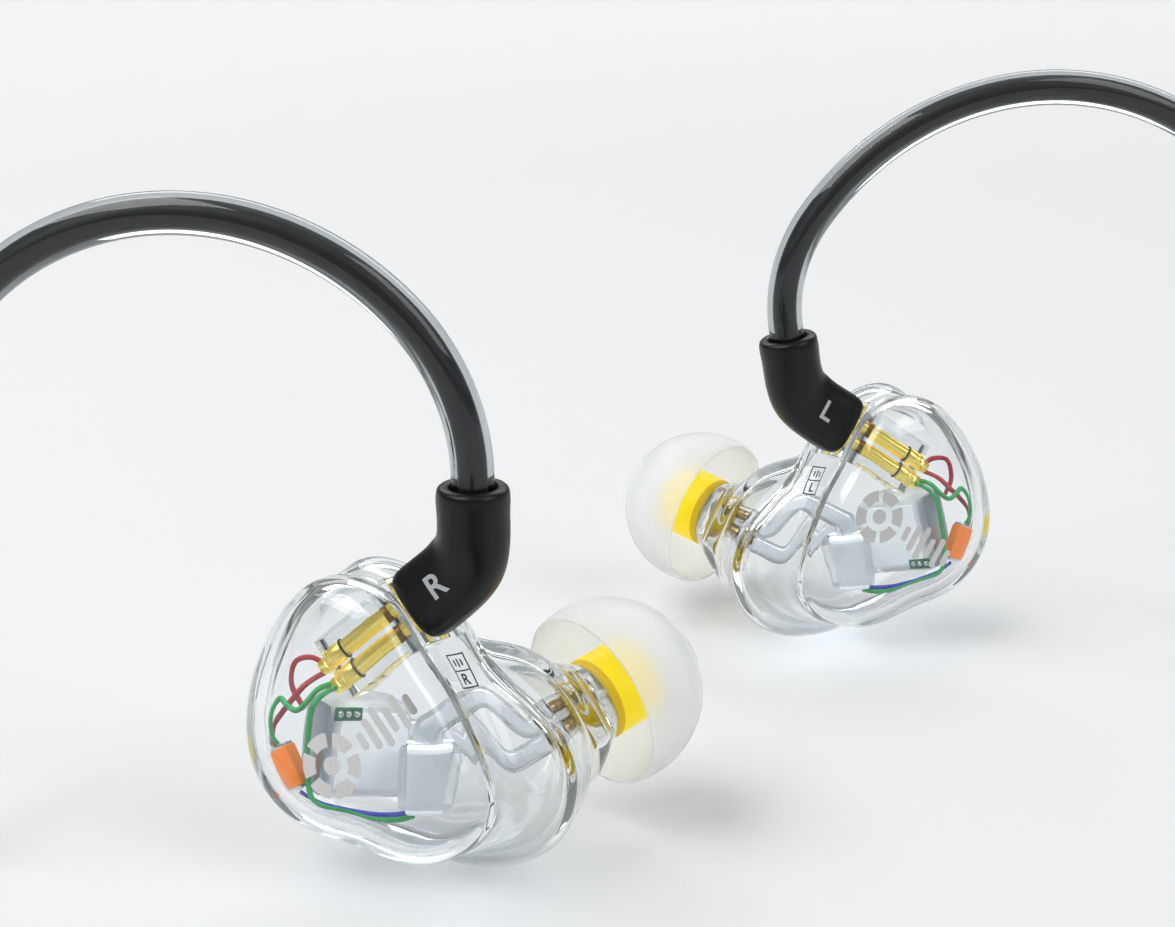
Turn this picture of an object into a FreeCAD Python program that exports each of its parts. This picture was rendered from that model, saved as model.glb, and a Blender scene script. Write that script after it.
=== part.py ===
import FreeCAD, Part
import math
import os
import Sketcher
from FreeCAD import Placement, Rotation, Vector

# A pair of in-ear monitors with detachable two-pin leads, in millimetres, +Z up.
# The two earpieces stand on the plane Z = 0 with +X to the wearer's left earpiece.
# Each earpiece has its own frame: x across the faceplate towards the nozzle, y up the faceplate,
# z out of the faceplate. The left earpiece is the right one mirrored in x.

DIMENSIONS = {
    # where the earpieces stand: centre of each faceplate, turn about Z, lean back, roll
    "ear_right_x": -19.972, "ear_right_y": -24.782, "ear_right_z": 12.378,
    "ear_left_x": 19.2, "ear_left_y": 15.718, "ear_left_z": 12.756,
    "turn_right": 25, "turn_left": 22.5, "lean_right": 12, "lean_left": 10,
    "roll_right": 0, "roll_left": 8,
    # clear shell
    "wall": 1.0, "dome_depth": 2.9,
    "neck_x": 9.6, "neck_y": 0.15, "neck_z": -13.1,
    "nozzle_x": 0.4, "nozzle_y": 0.38, "nozzle_z": -0.835,
    "nozzle_radius": 2.4, "nozzle_bore": 1.75, "nozzle_length": 4.6,
    "screen_thickness": 0.3,
    # two-pin socket, measured from its outer face down its axis
    "socket_x": 1.27, "socket_y": 7.15, "socket_z": -2.3, "socket_angle": 43.5,
    "block_length": 7.1, "block_width": 4.7, "block_thickness": 2.8,
    "collar_length": 1.9, "collar_width": 5.3, "collar_thickness": 3.3,
    "pin_pitch": 1.55, "pin_radius": 0.39, "pin_length": 4.4, "pin_nose": 0.25, "pin_gap": 0.04,
    "sleeve_radius": 0.6, "sleeve_start": 0.5, "flange_radius": 0.71, "flange_start": 5.8,
    "flange_end": 7.3, "sleeve_end": 8.4, "bore_depth": 5.4, "seal_width": 0.16, "seal_radius": 0.75,
    # balanced armature drivers and crossover
    "woofer_length": 6.8, "woofer_width": 6.8, "woofer_depth": 3.8, "woofer_corner": 0.5,
    "tweeter_length": 4.8, "tweeter_width": 2.6, "tweeter_depth": 2.6, "tweeter_corner": 0.3,
    "driver_boot_wall": 0.5,
    "capacitor_length": 3.2, "capacitor_width": 1.7, "capacitor_depth": 1.3, "capacitor_corner": 0.15,
    "tube_radius": 0.8, "tube_bore": 0.5, "tube_offset": 0.86,
    "damper_radius": 0.85, "damper_bore": 0.35, "damper_start": -3.4, "damper_end": 0.6,
    "wire_radius": 0.2,
    # eartip, measured along the nozzle from the neck
    "tip_centre": 1.9, "tip_radius": 6.65, "tip_wall": 0.6, "skirt_back": 1.7, "tip_front": 5.4,
    "core_bore": 2.47, "core_radius": 3.05, "core_start": 0.15, "core_end": 4.5, "throat_radius": 2.75,
    # boot between socket and ear hook
    "boot_gap": 0.1, "boot_reach": 5.34, "boot_rise": 5.2,
    "boot_width": 5.3, "boot_thickness": 3.9, "boot_room": 0.3, "boot_top_radius": 2.42,
    "tilt_right": 0, "tilt_left": 10.6,
    "carrier_width": 3.9, "carrier_thickness": 1.9, "carrier_depth": 2.6,
    # ear hook: clear sleeve over the black lead
    "hook_turn": 8, "hook_tight_right": 15.6, "hook_wide_right": 20.0,
    "hook_tight_left": 12.4, "hook_wide_left": 23.5,
    "sleeve_outer": 1.43, "lead_radius": 0.65, "sleeve_bore": 0.66,
    "hook_start_run": 0.5, "hook_end_run": 3.0, "hook_plug_in": 1.6,
    # loose cable: coil, splitter and plug
    "main_radius": 1.0, "coil_x": -9.2, "coil_y": -69, "coil_mid": 12, "coil_half_width": 4.1,
    "coil_height": 7.6, "coil_lift": 0.5, "tie_width": 4, "tie_wall": 0.5, "tie_angle": 35,
    "splitter_radius": 2.1, "splitter_length": 13, "splitter_angle": 200,
    "plug_x": 10.6, "plug_y": -82.6, "plug_angle": 28,
    "relief_length": 8, "relief_start_radius": 1.5, "relief_end_radius": 2.1,
    "barrel_length": 14, "barrel_radius": 3, "barrel_edge": 0.5,
    "jack_radius": 1.75, "jack_sleeve_length": 6.3, "jack_gap": 0.6, "jack_ring_length": 2.5,
    "jack_tip_length": 4.0, "jack_waist": 1.25, "jack_core": 0.9,
}

# Outline radii of the shell at every 30 degrees, counted from x towards y.
OUTLINES = {
    "rim": (7.4, 6.1, 6.2, 8.4, 9.8, 9.2, 9.2, 9.7, 9.4, 8.8, 10.4, 10.8),
    "belly": (9.6, 6.9, 6.7, 9.1, 11.3, 9.9, 9.2, 9.2, 9.2, 9.6, 11.2, 12.0),
    "waist": (9.3, 6.4, 5.5, 6.7, 8.9, 8.6, 8.2, 8.2, 8.6, 9.2, 10.2, 10.6),
    "ankle": (6.5, 6.2, 6.5, 6.4, 5.9, 5.9, 5.9, 6.0, 6.3, 6.7, 7.1, 7.0),
    "heel": (4.4,) * 12,
    "neck": (3.0,) * 12,
}

# Sections of the canal-side shell: outline, centre, and how far it turns towards the nozzle.
BODY_SECTIONS = (
    ("rim", (0, 0, 0), 0),
    ("rim", (0.1, -0.1, -3.0), 0),
    ("belly", (1.0, -0.6, -5.3), 0.05),
    ("waist", (2.6, -1.5, -7.6), 0.35),
    ("ankle", (6.0, -1.6, -9.6), 0.65),
)

# Faceplate sections: outline scale and share of the dome's depth.
DOME_SECTIONS = ((1.0, 0.0), (0.985, 0.35), (0.94, 0.7), (0.84, 0.93), (0.7, 1.0))
INNER_DOME_SECTIONS = ((1.0, 0.0), (0.975, 0.5), (0.9, 0.85), (0.78, 1.0))

SIDES = {"r": 1, "l": -1}

doc = FreeCAD.newDocument("InEarMonitors")
sheet = doc.addObject("Spreadsheet::Sheet", "Dims")
built = []


def fill_sheet():
    rows = dict(DIMENSIONS)
    for name, radii in OUTLINES.items():
        for step, radius in enumerate(radii):
            rows["%s_at_%d" % (name, 30 * step)] = radius
    for row, (alias, value) in enumerate(rows.items(), start=1):
        sheet.set("A%d" % row, alias)
        sheet.set("B%d" % row, str(value))
        sheet.setAlias("B%d" % row, alias)
    doc.recompute()


def size(expression):
    """The value of a sheet cell, or of an expression of sheet cells."""
    return float(sheet.evalExpression(expression))


def outline(name):
    return [size("%s_at_%d" % (name, 30 * step)) for step in range(12)]


# ---- frames -------------------------------------------------------------------------------------

def ear_placement(side):
    """Where an earpiece stands: leaned back, then turned outwards."""
    word = "right" if side > 0 else "left"
    centre = Vector(size("ear_%s_x" % word), size("ear_%s_y" % word), size("ear_%s_z" % word))
    turn = Rotation(Vector(0, 0, 1), -side * size("turn_%s" % word))
    lean = Rotation(Vector(1, 0, 0), 90 - size("lean_%s" % word))
    roll = Rotation(Vector(0, 0, 1), size("roll_%s" % word))
    return Placement(centre, turn * lean * roll)


def lead_placement(side):
    """Level frame at the middle of the socket's outer face; carries boot and hook."""
    return Placement(on_ear(side, *socket_point(size("boot_gap"))), Rotation())


def nozzle_heading():
    return Vector(size("nozzle_x"), size("nozzle_y"), size("nozzle_z")).normalize()


def nozzle_point(along, aside=0.0):
    """A point along the nozzle's axis from the neck, or beside it, in the right earpiece's frame."""
    neck = Vector(size("neck_x"), size("neck_y"), size("neck_z"))
    sideways = nozzle_heading().cross(Vector(0, 0, 1)).normalize()
    return neck + nozzle_heading() * along + sideways * aside


def socket_heading():
    angle = math.radians(size("socket_angle"))
    return Vector(math.cos(angle), math.sin(angle), 0)


def socket_point(out, aside=0.0):
    """A point out of the socket along its axis, in the right earpiece's frame."""
    across = socket_heading().cross(Vector(0, 0, 1))
    face = Vector(size("socket_x"), size("socket_y"), size("socket_z"))
    return face + socket_heading() * out + across * aside


def mirrored(side, point):
    return Vector(side * point[0], point[1], point[2])


def on_ear(side, x, y, z):
    """World position of a point in an earpiece's frame."""
    return ear_placement(side).multVec(mirrored(side, (x, y, z)))


def placed_on_ear(side, position, x_axis, z_axis):
    """Placement of a piece that is symmetric about its own planes, on either earpiece."""
    x_turned = mirrored(side, x_axis)
    z_turned = mirrored(side, z_axis)
    inner = Placement(mirrored(side, position), Rotation(x_turned, Vector(), z_turned, "ZXY"))
    return ear_placement(side).multiply(inner)


# ---- ways to make a piece -----------------------------------------------------------------------

def keep(piece, label, placement):
    piece.Label = label
    piece.Placement = placement
    built.append(piece)
    return piece


def shaped(label, shape, placement):
    """A piece whose free-form shape is set directly."""
    piece = doc.addObject("Part::Feature", label)
    piece.Shape = shape
    return keep(piece, label, placement)


def body_with_sketch(label, role):
    body = doc.addObject("PartDesign::Body", label)
    return body, add_sketch(body, label + "_outline", role)


def add_sketch(body, name, role):
    plane = next(item for item in body.Origin.OriginFeatures if item.Role == role)
    sketch = body.newObject("Sketcher::SketchObject", name)
    sketch.AttachmentSupport = [(plane, "")]
    sketch.MapMode = "FlatFace"
    return sketch


def draw_profile(sketch, corners):
    """A closed outline of straight sides whose corners are held by sheet expressions."""
    numbers = [(size(x), size(y)) for x, y in corners]
    count = len(corners)
    for index in range(count):
        start = Vector(*numbers[index], 0)
        end = Vector(*numbers[(index + 1) % count], 0)
        sketch.addGeometry(Part.LineSegment(start, end), False)
    for index in range(count):
        sketch.addConstraint(Sketcher.Constraint("Coincident", index, 2, (index + 1) % count, 1))
    for index, corner in enumerate(corners):
        for kind, axis, value, expression in (
            ("DistanceX", -2, numbers[index][0], corner[0]),
            ("DistanceY", -1, numbers[index][1], corner[1]),
        ):
            if value == 0:
                sketch.addConstraint(Sketcher.Constraint("PointOnObject", index, 1, axis))
            else:
                held = sketch.addConstraint(Sketcher.Constraint(kind, -1, 1, index, 1, value))
                sketch.setExpression("Constraints[%d]" % held, expression)


def turned(label, corners, placement):
    """A turned piece: corners are (radius, height) expressions about the z axis."""
    body, sketch = body_with_sketch(label, "XZ_Plane")
    draw_profile(sketch, [(in_dims(radius), in_dims(height)) for radius, height in corners])
    turn = body.newObject("PartDesign::Revolution", label + "_turn")
    turn.Profile = sketch
    turn.ReferenceAxis = (sketch, ["V_Axis"])
    turn.Angle = 360
    return keep(body, label, placement)


def in_dims(expression):
    """Writes sheet aliases inside an expression with the sheet's name before them."""
    words = []
    for word in expression.replace("(", "( ").replace(")", " )").split():
        words.append("Dims." + word if word[0].isalpha() else word)
    return " ".join(words)


def block(label, length, width, depth, edge_cell, placement, edge_kind="Fillet"):
    """A padded rectangle centred on the origin, with all its edges rounded or bevelled."""
    body, sketch = body_with_sketch(label, "XY_Plane")
    half_x, half_y = in_dims(length) + " / 2", in_dims(width) + " / 2"
    corners = [("-" + half_x, "-" + half_y), (half_x, "-" + half_y), (half_x, half_y), ("-" + half_x, half_y)]
    draw_profile(sketch, corners)
    pad = body.newObject("PartDesign::Pad", label + "_pad")
    pad.Profile = sketch
    pad.SideType = "Symmetric"
    pad.setExpression("Length", in_dims(depth))
    if edge_cell:
        doc.recompute()
        edge = body.newObject("PartDesign::" + edge_kind, label + "_edges")
        edges = ["Edge%d" % (index + 1) for index in range(len(pad.Shape.Edges))]
        edge.Base = (pad, edges)
        edge.setExpression("Radius" if edge_kind == "Fillet" else "Size", in_dims(edge_cell))
        body.Tip = edge
    return keep(body, label, placement)


def rounded_path(points):
    """Straight runs joined by tangent arcs, each as large as its two runs allow."""
    edges = []
    radii = []
    start = points[0]
    for index in range(1, len(points) - 1):
        corner = points[index]
        back = points[index - 1] - corner
        ahead = points[index + 1] - corner
        half_turn = (math.pi - back.getAngle(ahead)) / 2
        trim = 0.45 * min(back.Length, ahead.Length)
        radii.append(trim / math.tan(half_turn))
        arc_in = corner + back.normalize() * trim
        arc_out = corner + ahead.normalize() * trim
        bisector = (back + ahead).normalize()
        middle = corner + bisector * (radii[-1] / math.cos(half_turn) - radii[-1])
        edges.append(Part.LineSegment(start, arc_in).toShape())
        edges.append(Part.Arc(arc_in, middle, arc_out).toShape())
        start = arc_out
    edges.append(Part.LineSegment(start, points[-1]).toShape())
    return Part.Wire(edges), radii


def swept(path, radius):
    """A round bar along a smooth path, checked against its section times its length."""
    first = path.Edges[0]
    begin = first.valueAt(first.FirstParameter)
    heading = first.tangentAt(first.FirstParameter)
    section = Part.Wire([Part.Circle(begin, heading, radius).toShape()])
    bar = path.makePipeShell([section], True, True)
    expected = math.pi * radius ** 2 * path.Length
    if abs(bar.Volume / expected - 1) > 0.01:
        raise ValueError("swept bar has volume %.2f, not %.2f" % (bar.Volume, expected))
    return bar


def swept_points(side, points, radius):
    path, _ = rounded_path([mirrored(side, point) for point in points])
    return swept(path, radius)


# ---- clear shell --------------------------------------------------------------------------------

def ring_wire(side, centre, heading, radii):
    """A closed smooth outline through points at equal angles, square to the heading."""
    normal = Vector(heading).normalize()
    x_axis = (Vector(1, 0, 0) - normal * normal.x).normalize()
    y_axis = x_axis.cross(normal)
    points = []
    for step, radius in enumerate(radii):
        angle = 2 * math.pi * step / len(radii)
        spoke = x_axis * math.cos(angle) + y_axis * math.sin(angle)
        points.append(mirrored(side, Vector(*centre) + spoke * radius))
    curve = Part.BSplineCurve()
    curve.interpolate(points, PeriodicFlag=True)
    return Part.Wire([curve.toShape()])


def body_wires(side, inset):
    """Section outlines of the canal-side shell, drawn in by the inset."""
    wires = []
    for name, centre, turn in BODY_SECTIONS:
        heading = Vector(0, 0, -1) * (1 - turn) + nozzle_heading() * turn
        radii = [radius - inset for radius in outline(name)]
        wires.append(ring_wire(side, centre, heading, radii))
    return wires


def nozzle_wires(side, inset):
    heel = ring_wire(side, nozzle_point(-2.3), nozzle_heading(), [r - inset for r in outline("heel")])
    neck = ring_wire(side, nozzle_point(0), nozzle_heading(), outline("neck"))
    throat = ring_wire(side, nozzle_point(-0.8), nozzle_heading(), [size("nozzle_bore") - 0.3] * 12)
    return [heel, throat] if inset else [heel, neck]


def nozzle_bar(side, radius, start, end):
    heading = mirrored(side, nozzle_heading())
    return Part.makeCylinder(radius, end - start, mirrored(side, nozzle_point(start)), heading)


def socket_box(side, start, end, width, thickness):
    """A box on the socket's axis, from start to end outwards, in the earpiece's frame."""
    box = Part.makeBox(width, thickness, end - start, Vector(-width / 2, -thickness / 2, 0))
    across = mirrored(side, socket_heading().cross(Vector(0, 0, 1)))
    turn = Rotation(across, Vector(), mirrored(side, socket_heading()), "ZXY")
    box.Placement = Placement(mirrored(side, socket_point(start)), turn)
    return box


def shell_body(suffix, side):
    outer = Part.makeLoft(body_wires(side, 0) + nozzle_wires(side, 0), True, False)
    wall = size("wall")
    inner = Part.makeLoft(body_wires(side, wall) + nozzle_wires(side, 1.4 * wall), True, False)
    length = size("nozzle_length")
    shape = outer.fuse(nozzle_bar(side, size("nozzle_radius"), -0.5, length))
    shape = shape.cut(inner)
    shape = shape.cut(nozzle_bar(side, size("nozzle_bore"), -1.6, length + 1))
    recess = [size("boot_" + word) + 2 * size("boot_room") for word in ("width", "thickness")]
    shape = shape.cut(socket_box(side, 0, 6, *recess))
    slack = 2 * size("pin_gap")
    width = size("collar_width") + slack
    thickness = size("collar_thickness") + slack
    shape = shape.cut(socket_box(side, -size("collar_length") - slack, 6, width, thickness))
    width = size("block_width") + slack
    thickness = size("block_thickness") + slack
    shape = shape.cut(socket_box(side, -size("block_length") - slack, 6, width, thickness))
    return shaped("shell_body_" + suffix, largest_solid(shape), ear_placement(side))


def largest_solid(shape):
    return max(shape.Solids, key=lambda solid: solid.Volume)


def faceplate(suffix, side):
    depth, wall = size("dome_depth"), size("wall")
    outer, inner = [], []
    for scale, share in DOME_SECTIONS:
        radii = [radius * scale for radius in outline("rim")]
        outer.append(ring_wire(side, (0, 0, depth * share), (0, 0, -1), radii))
    for scale, share in INNER_DOME_SECTIONS:
        radii = [radius * scale - wall for radius in outline("rim")]
        inner.append(ring_wire(side, (0, 0, (depth - wall) * share), (0, 0, -1), radii))
    shape = Part.makeLoft(outer, True, False).cut(Part.makeLoft(inner, True, False))
    width, thickness = size("collar_width"), size("collar_thickness")
    shape = shape.cut(socket_box(side, -size("collar_length"), 6, width, thickness))
    return shaped("faceplate_" + suffix, largest_solid(shape), ear_placement(side))


def nozzle_screen(suffix, side):
    disc = doc.addObject("Part::Cylinder", "nozzle_screen_" + suffix)
    disc.setExpression("Radius", "Dims.nozzle_bore")
    disc.setExpression("Height", "Dims.screen_thickness")
    start = nozzle_point(size("nozzle_length") - size("screen_thickness") - 0.2)
    keep(disc, "nozzle_screen_" + suffix, placed_on_ear(side, start, (1, 0, 0), nozzle_heading()))


# ---- two-pin socket -----------------------------------------------------------------------------

def socket_placement(side, out=0.0):
    across = socket_heading().cross(Vector(0, 0, 1))
    return placed_on_ear(side, socket_point(out), across, -socket_heading())


def stadium_pair(radius, start, end):
    """Two bars on the pin positions, from start to end down the socket."""
    half = size("pin_pitch") / 2
    bars = [Part.makeCylinder(radius, end - start, Vector(x, 0, start)) for x in (-half, half)]
    return Part.makeCompound(bars)


def joined_pair(*bands):
    """Two stepped bars on the pin positions; bands are (radius, start, end)."""
    half = size("pin_pitch") / 2
    bars = []
    for x in (-half, half):
        steps = [Part.makeCylinder(radius, end - start, Vector(x, 0, start)) for radius, start, end in bands]
        bar = steps[0]
        for step in steps[1:]:
            bar = bar.fuse(step)
        bars.append(bar.removeSplitter())
    return Part.makeCompound(bars)


def socket_block(suffix, side):
    length, collar = size("block_length"), size("collar_length")
    width, thickness = size("collar_width"), size("collar_thickness")
    shape = Part.makeBox(width, thickness, collar, Vector(-width / 2, -thickness / 2, 0))
    width, thickness = size("block_width"), size("block_thickness")
    shape = shape.fuse(Part.makeBox(width, thickness, length, Vector(-width / 2, -thickness / 2, 0)))
    hole = size("sleeve_radius")
    shape = shape.cut(stadium_pair(hole, -1, length + 1))
    seat = size("flange_start") - size("seal_width")
    shape = shape.cut(stadium_pair(size("seal_radius"), seat, length + 1))
    shaped("socket_block_" + suffix, shape.removeSplitter(), socket_placement(side))


def socket_sleeves(suffix, side):
    shape = joined_pair(
        (size("sleeve_radius"), size("sleeve_start"), size("sleeve_end")),
        (size("flange_radius"), size("flange_start"), size("flange_end")),
    )
    bore = stadium_pair(size("pin_radius") + size("pin_gap"), -1, size("bore_depth"))
    shaped("socket_sleeves_" + suffix, shape.cut(bore), socket_placement(side))


def sleeve_seals(suffix, side):
    start = size("flange_start")
    ring = stadium_pair(size("seal_radius"), start - size("seal_width"), start)
    shape = ring.cut(stadium_pair(size("sleeve_radius"), start - 1, start + 1))
    shaped("sleeve_seals_" + suffix, shape, socket_placement(side))


def plug_pins(suffix, side):
    radius = size("pin_radius")
    length, depth, nose_length = size("pin_length"), size("carrier_depth"), size("pin_nose")
    half = size("pin_pitch") / 2
    pins = []
    for x in (-half, half):
        bar = Part.makeCylinder(radius, length + depth, Vector(x, 0, -depth))
        nose = Part.makeCone(radius, radius / 2, nose_length, Vector(x, 0, length))
        pins.append(bar.fuse(nose).removeSplitter())
    shaped("plug_pins_" + suffix, Part.makeCompound(pins), socket_placement(side, size("boot_gap")))


def carrier_shape():
    width, thickness, depth = size("carrier_width"), size("carrier_thickness"), size("carrier_depth")
    return Part.makeBox(width, thickness, depth, Vector(-width / 2, -thickness / 2, -depth))


def pin_carrier(suffix, side):
    shape = carrier_shape().cut(stadium_pair(size("pin_radius"), -size("carrier_depth") - 1, 1))
    shaped("pin_carrier_" + suffix, shape, socket_placement(side, size("boot_gap")))


# ---- inside the shell ---------------------------------------------------------------------------

WOOFER_SPOT = ((-3.015, -3.2, -3.46), (0.55, -0.05, -0.83), (0.83, 0.0, 0.55))
TWEETER_SPOT = ((2.75, -4.3, -3.0), (-0.06, 0.99, 0.0), (0.5, 0.03, 0.87))
CAPACITOR_SPOT = ((-5.94, -4.6, 0.32), (0.55, -0.83, 0.0), (0.0, 0.0, 1.0))


def woofer(suffix, side):
    place = placed_on_ear(side, *WOOFER_SPOT)
    block("woofer_" + suffix, "woofer_length", "woofer_width", "woofer_depth", "woofer_corner", place)


def tweeter(suffix, side):
    place = placed_on_ear(side, *TWEETER_SPOT)
    block("tweeter_" + suffix, "tweeter_length", "tweeter_width", "tweeter_depth", "tweeter_corner", place)


def tweeter_boot(suffix, side):
    """An open-ended clear sleeve round the tweeter."""
    label = "tweeter_boot_" + suffix
    body, sketch = body_with_sketch(label, "YZ_Plane")
    outer = ["Dims.tweeter_%s / 2 + Dims.driver_boot_wall" % word for word in ("width", "depth")]
    draw_profile(sketch, box_corners(*outer))
    pad = body.newObject("PartDesign::Pad", label + "_pad")
    pad.Profile = sketch
    pad.SideType = "Symmetric"
    pad.setExpression("Length", "Dims.tweeter_length - 2 * Dims.driver_boot_wall")
    opening = add_sketch(body, label + "_opening", "YZ_Plane")
    draw_profile(opening, box_corners("Dims.tweeter_width / 2", "Dims.tweeter_depth / 2"))
    pocket = body.newObject("PartDesign::Pocket", label + "_pocket")
    pocket.Profile = opening
    pocket.SideType = "Symmetric"
    pocket.setExpression("Length", "Dims.tweeter_length")
    body.Tip = pocket
    keep(body, label, placed_on_ear(side, *TWEETER_SPOT))


def box_corners(half_x, half_y):
    left, low = "-(%s)" % half_x, "-(%s)" % half_y
    return [(left, low), (half_x, low), (half_x, half_y), (left, half_y)]


def capacitor(suffix, side):
    place = placed_on_ear(side, *CAPACITOR_SPOT)
    block("capacitor_" + suffix, "capacitor_length", "capacitor_width", "capacitor_depth",
          "capacitor_corner", place, "Chamfer")


def sound_tube(label, side, points, aside):
    start = size("damper_start")
    route = [Vector(*point) for point in points]
    route += [nozzle_point(start - 1.8, aside), nozzle_point(start, aside)]
    shape = swept_points(side, route, size("tube_radius"))
    shape = shape.cut(swept_points(side, route, size("tube_bore")))
    shaped(label, shape, ear_placement(side))


def sound_tubes(suffix, side):
    low = [(-0.48, -2.1, -6.09), (0.6, -2.1, -7.2), (2.6, -2.8, -7.5), (5.9, -3.8, -7.4)]
    high = [(2.6, -1.84, -3.1), (2.7, -0.6, -3.5), (4.6, 0.9, -6.0)]
    sound_tube("low_tube_" + suffix, side, low, size("tube_offset"))
    sound_tube("high_tube_" + suffix, side, high, -size("tube_offset"))


def dampers(suffix, side):
    start, end = size("damper_start"), size("damper_end")
    heading = mirrored(side, nozzle_heading())
    cups = []
    for aside in (-size("tube_offset"), size("tube_offset")):
        foot = mirrored(side, nozzle_point(start, aside))
        cup = Part.makeCylinder(size("damper_radius"), end - start, foot, heading)
        cups.append(cup.cut(Part.makeCylinder(size("damper_bore"), end - start, foot, heading)))
    shaped("dampers_" + suffix, Part.makeCompound(cups), ear_placement(side))


RED_ROUTES = (
    ((-5.2, 2.15, -2.5), (-6.3, 2.6, -2.1), (-7.4, 2.2, -1.9), (-7.68, 1.1, -1.9), (-7.5, 0.0, -2.1),
     (-6.5, -1.1, -2.1)),
    ((-5.05, 1.75, -2.5), (-5.7, 1.1, -0.9), (-6.3, 0.1, -0.3), (-7.1, -1.1, -0.1), (-7.65, -2.1, 0.0),
     (-7.5, -3.0, 0.3), (-7.15, -3.42, 0.35)),
)
GREEN_ROUTES = (
    ((-4.3, 1.05, -2.5), (-4.7, 0.85, -0.8), (-5.3, -0.4, 0.6), (-6.2, -0.3, 0.6), (-7.0, 0.0, 0.4),
     (-7.5, -1.0, 0.7), (-7.3, -2.4, 0.8), (-6.8, -3.12, 0.55)),
    ((-4.0, 0.8, -2.5), (-3.9, 0.85, -0.6), (-4.0, 0.15, 0.9), (-4.2, -1.8, 0.9), (-4.3, -4.2, 0.6),
     (-3.5, -6.5, 0.7), (-1.6, -7.2, -0.5), (0.2, -7.4, -1.05), (1.6, -7.3, -1.9), (2.4, -7.0, -2.6)),
)
BLUE_ROUTES = (
    ((-5.0, -6.2, 0.3), (-3.8, -7.0, -0.5), (-2.0, -7.25, -1.2), (-0.3, -7.32, -1.7), (0.9, -7.2, -2.3),
     (1.9, -7.0, -3.0)),
)


def wires(name, routes, suffix, side):
    strands = []
    for route in routes:
        strands.append(swept_points(side, [Vector(*point) for point in route], size("wire_radius")))
    shaped("%s_%s" % (name, suffix), Part.makeCompound(strands), ear_placement(side))


# ---- eartip -------------------------------------------------------------------------------------

def tip_placement(side):
    return placed_on_ear(side, nozzle_point(0), (1, 0, 0), nozzle_heading())


def eartip_core(suffix, side):
    corners = [("core_bore", "core_start"), ("core_radius", "core_start"),
               ("core_radius", "core_end"), ("core_bore", "core_end")]
    turned("eartip_core_" + suffix, corners, tip_placement(side))


def eartip_dome(suffix, side):
    """A ball-shaped skirt, open at the back, joined at the front to a throat on the core."""
    centre, radius, wall = size("tip_centre"), size("tip_radius"), size("tip_wall")
    back, front = size("skirt_back"), size("tip_front")
    mouth = math.sqrt(radius ** 2 - front ** 2)
    outer_arc = dome_arc(centre, radius, back, front)
    inner_arc = dome_arc(centre, radius - wall, back, front - wall)
    throat, core_end = size("throat_radius"), size("core_end")
    inner_mouth = math.sqrt((radius - wall) ** 2 - (front - wall) ** 2)
    outer_throat = throat + wall
    loop = [
        outer_arc,
        Part.LineSegment(profile_point(mouth, centre + front), profile_point(throat, core_end)),
        Part.LineSegment(profile_point(throat, core_end), profile_point(outer_throat, core_end)),
        Part.LineSegment(profile_point(outer_throat, core_end),
                         profile_point(inner_mouth, centre + front - wall)),
        inner_arc,
        Part.LineSegment(arc_end(centre, radius - wall, back), arc_end(centre, radius, back)),
    ]
    face = Part.Face(Part.Wire(Part.__sortEdges__([item.toShape() for item in loop])))
    shape = face.revolve(Vector(0, 0, 0), Vector(0, 0, 1), 360)
    shaped("eartip_dome_" + suffix, shape, tip_placement(side))


def profile_point(radius, height):
    return Vector(radius, 0, height)


def arc_end(centre, radius, back):
    return profile_point(math.sqrt(radius ** 2 - back ** 2), centre - back)


def dome_arc(centre, radius, back, front):
    widest = profile_point(radius, centre)
    return Part.Arc(arc_end(centre, radius, back), widest, arc_end(centre, radius, -front))


# ---- boot and ear hook --------------------------------------------------------------------------

def hook_axes(side):
    """Up out of the boot, and away from it over the ear: the plane of the ear hook."""
    word = "right" if side > 0 else "left"
    turn, tilt = math.radians(size("hook_turn")), math.radians(size("tilt_" + word))
    level = Vector(-side * math.cos(turn), math.sin(turn), 0)
    upright = Vector(0, 0, math.cos(tilt)) - level * math.sin(tilt)
    return upright, level * math.cos(tilt) + Vector(0, 0, math.sin(tilt))


def boot_points(side):
    """Start, bend and top of the boot's centre line, from the socket's face."""
    heading = ear_placement(side).Rotation.multVec(mirrored(side, socket_heading()))
    bend = heading * size("boot_reach")
    return Vector(0, 0, 0), bend, bend + hook_axes(side)[0] * size("boot_rise")


def boot_section(centre, heading, across, width, thickness, power):
    """A smooth closed section, from an ellipse (power 2) towards a rounded rectangle."""
    normal = Vector(heading).normalize()
    x_axis = (across - normal * across.dot(normal)).normalize()
    y_axis = normal.cross(x_axis)
    points = []
    steps = 16
    for step in range(steps):
        angle = 2 * math.pi * step / steps
        c, s = math.cos(angle), math.sin(angle)
        reach = (abs(c) ** power + abs(s) ** power) ** (-1 / power)
        points.append(centre + x_axis * (c * reach * width / 2) + y_axis * (s * reach * thickness / 2))
    curve = Part.BSplineCurve()
    curve.interpolate(points, PeriodicFlag=True)
    return Part.Wire([curve.toShape()])


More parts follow.
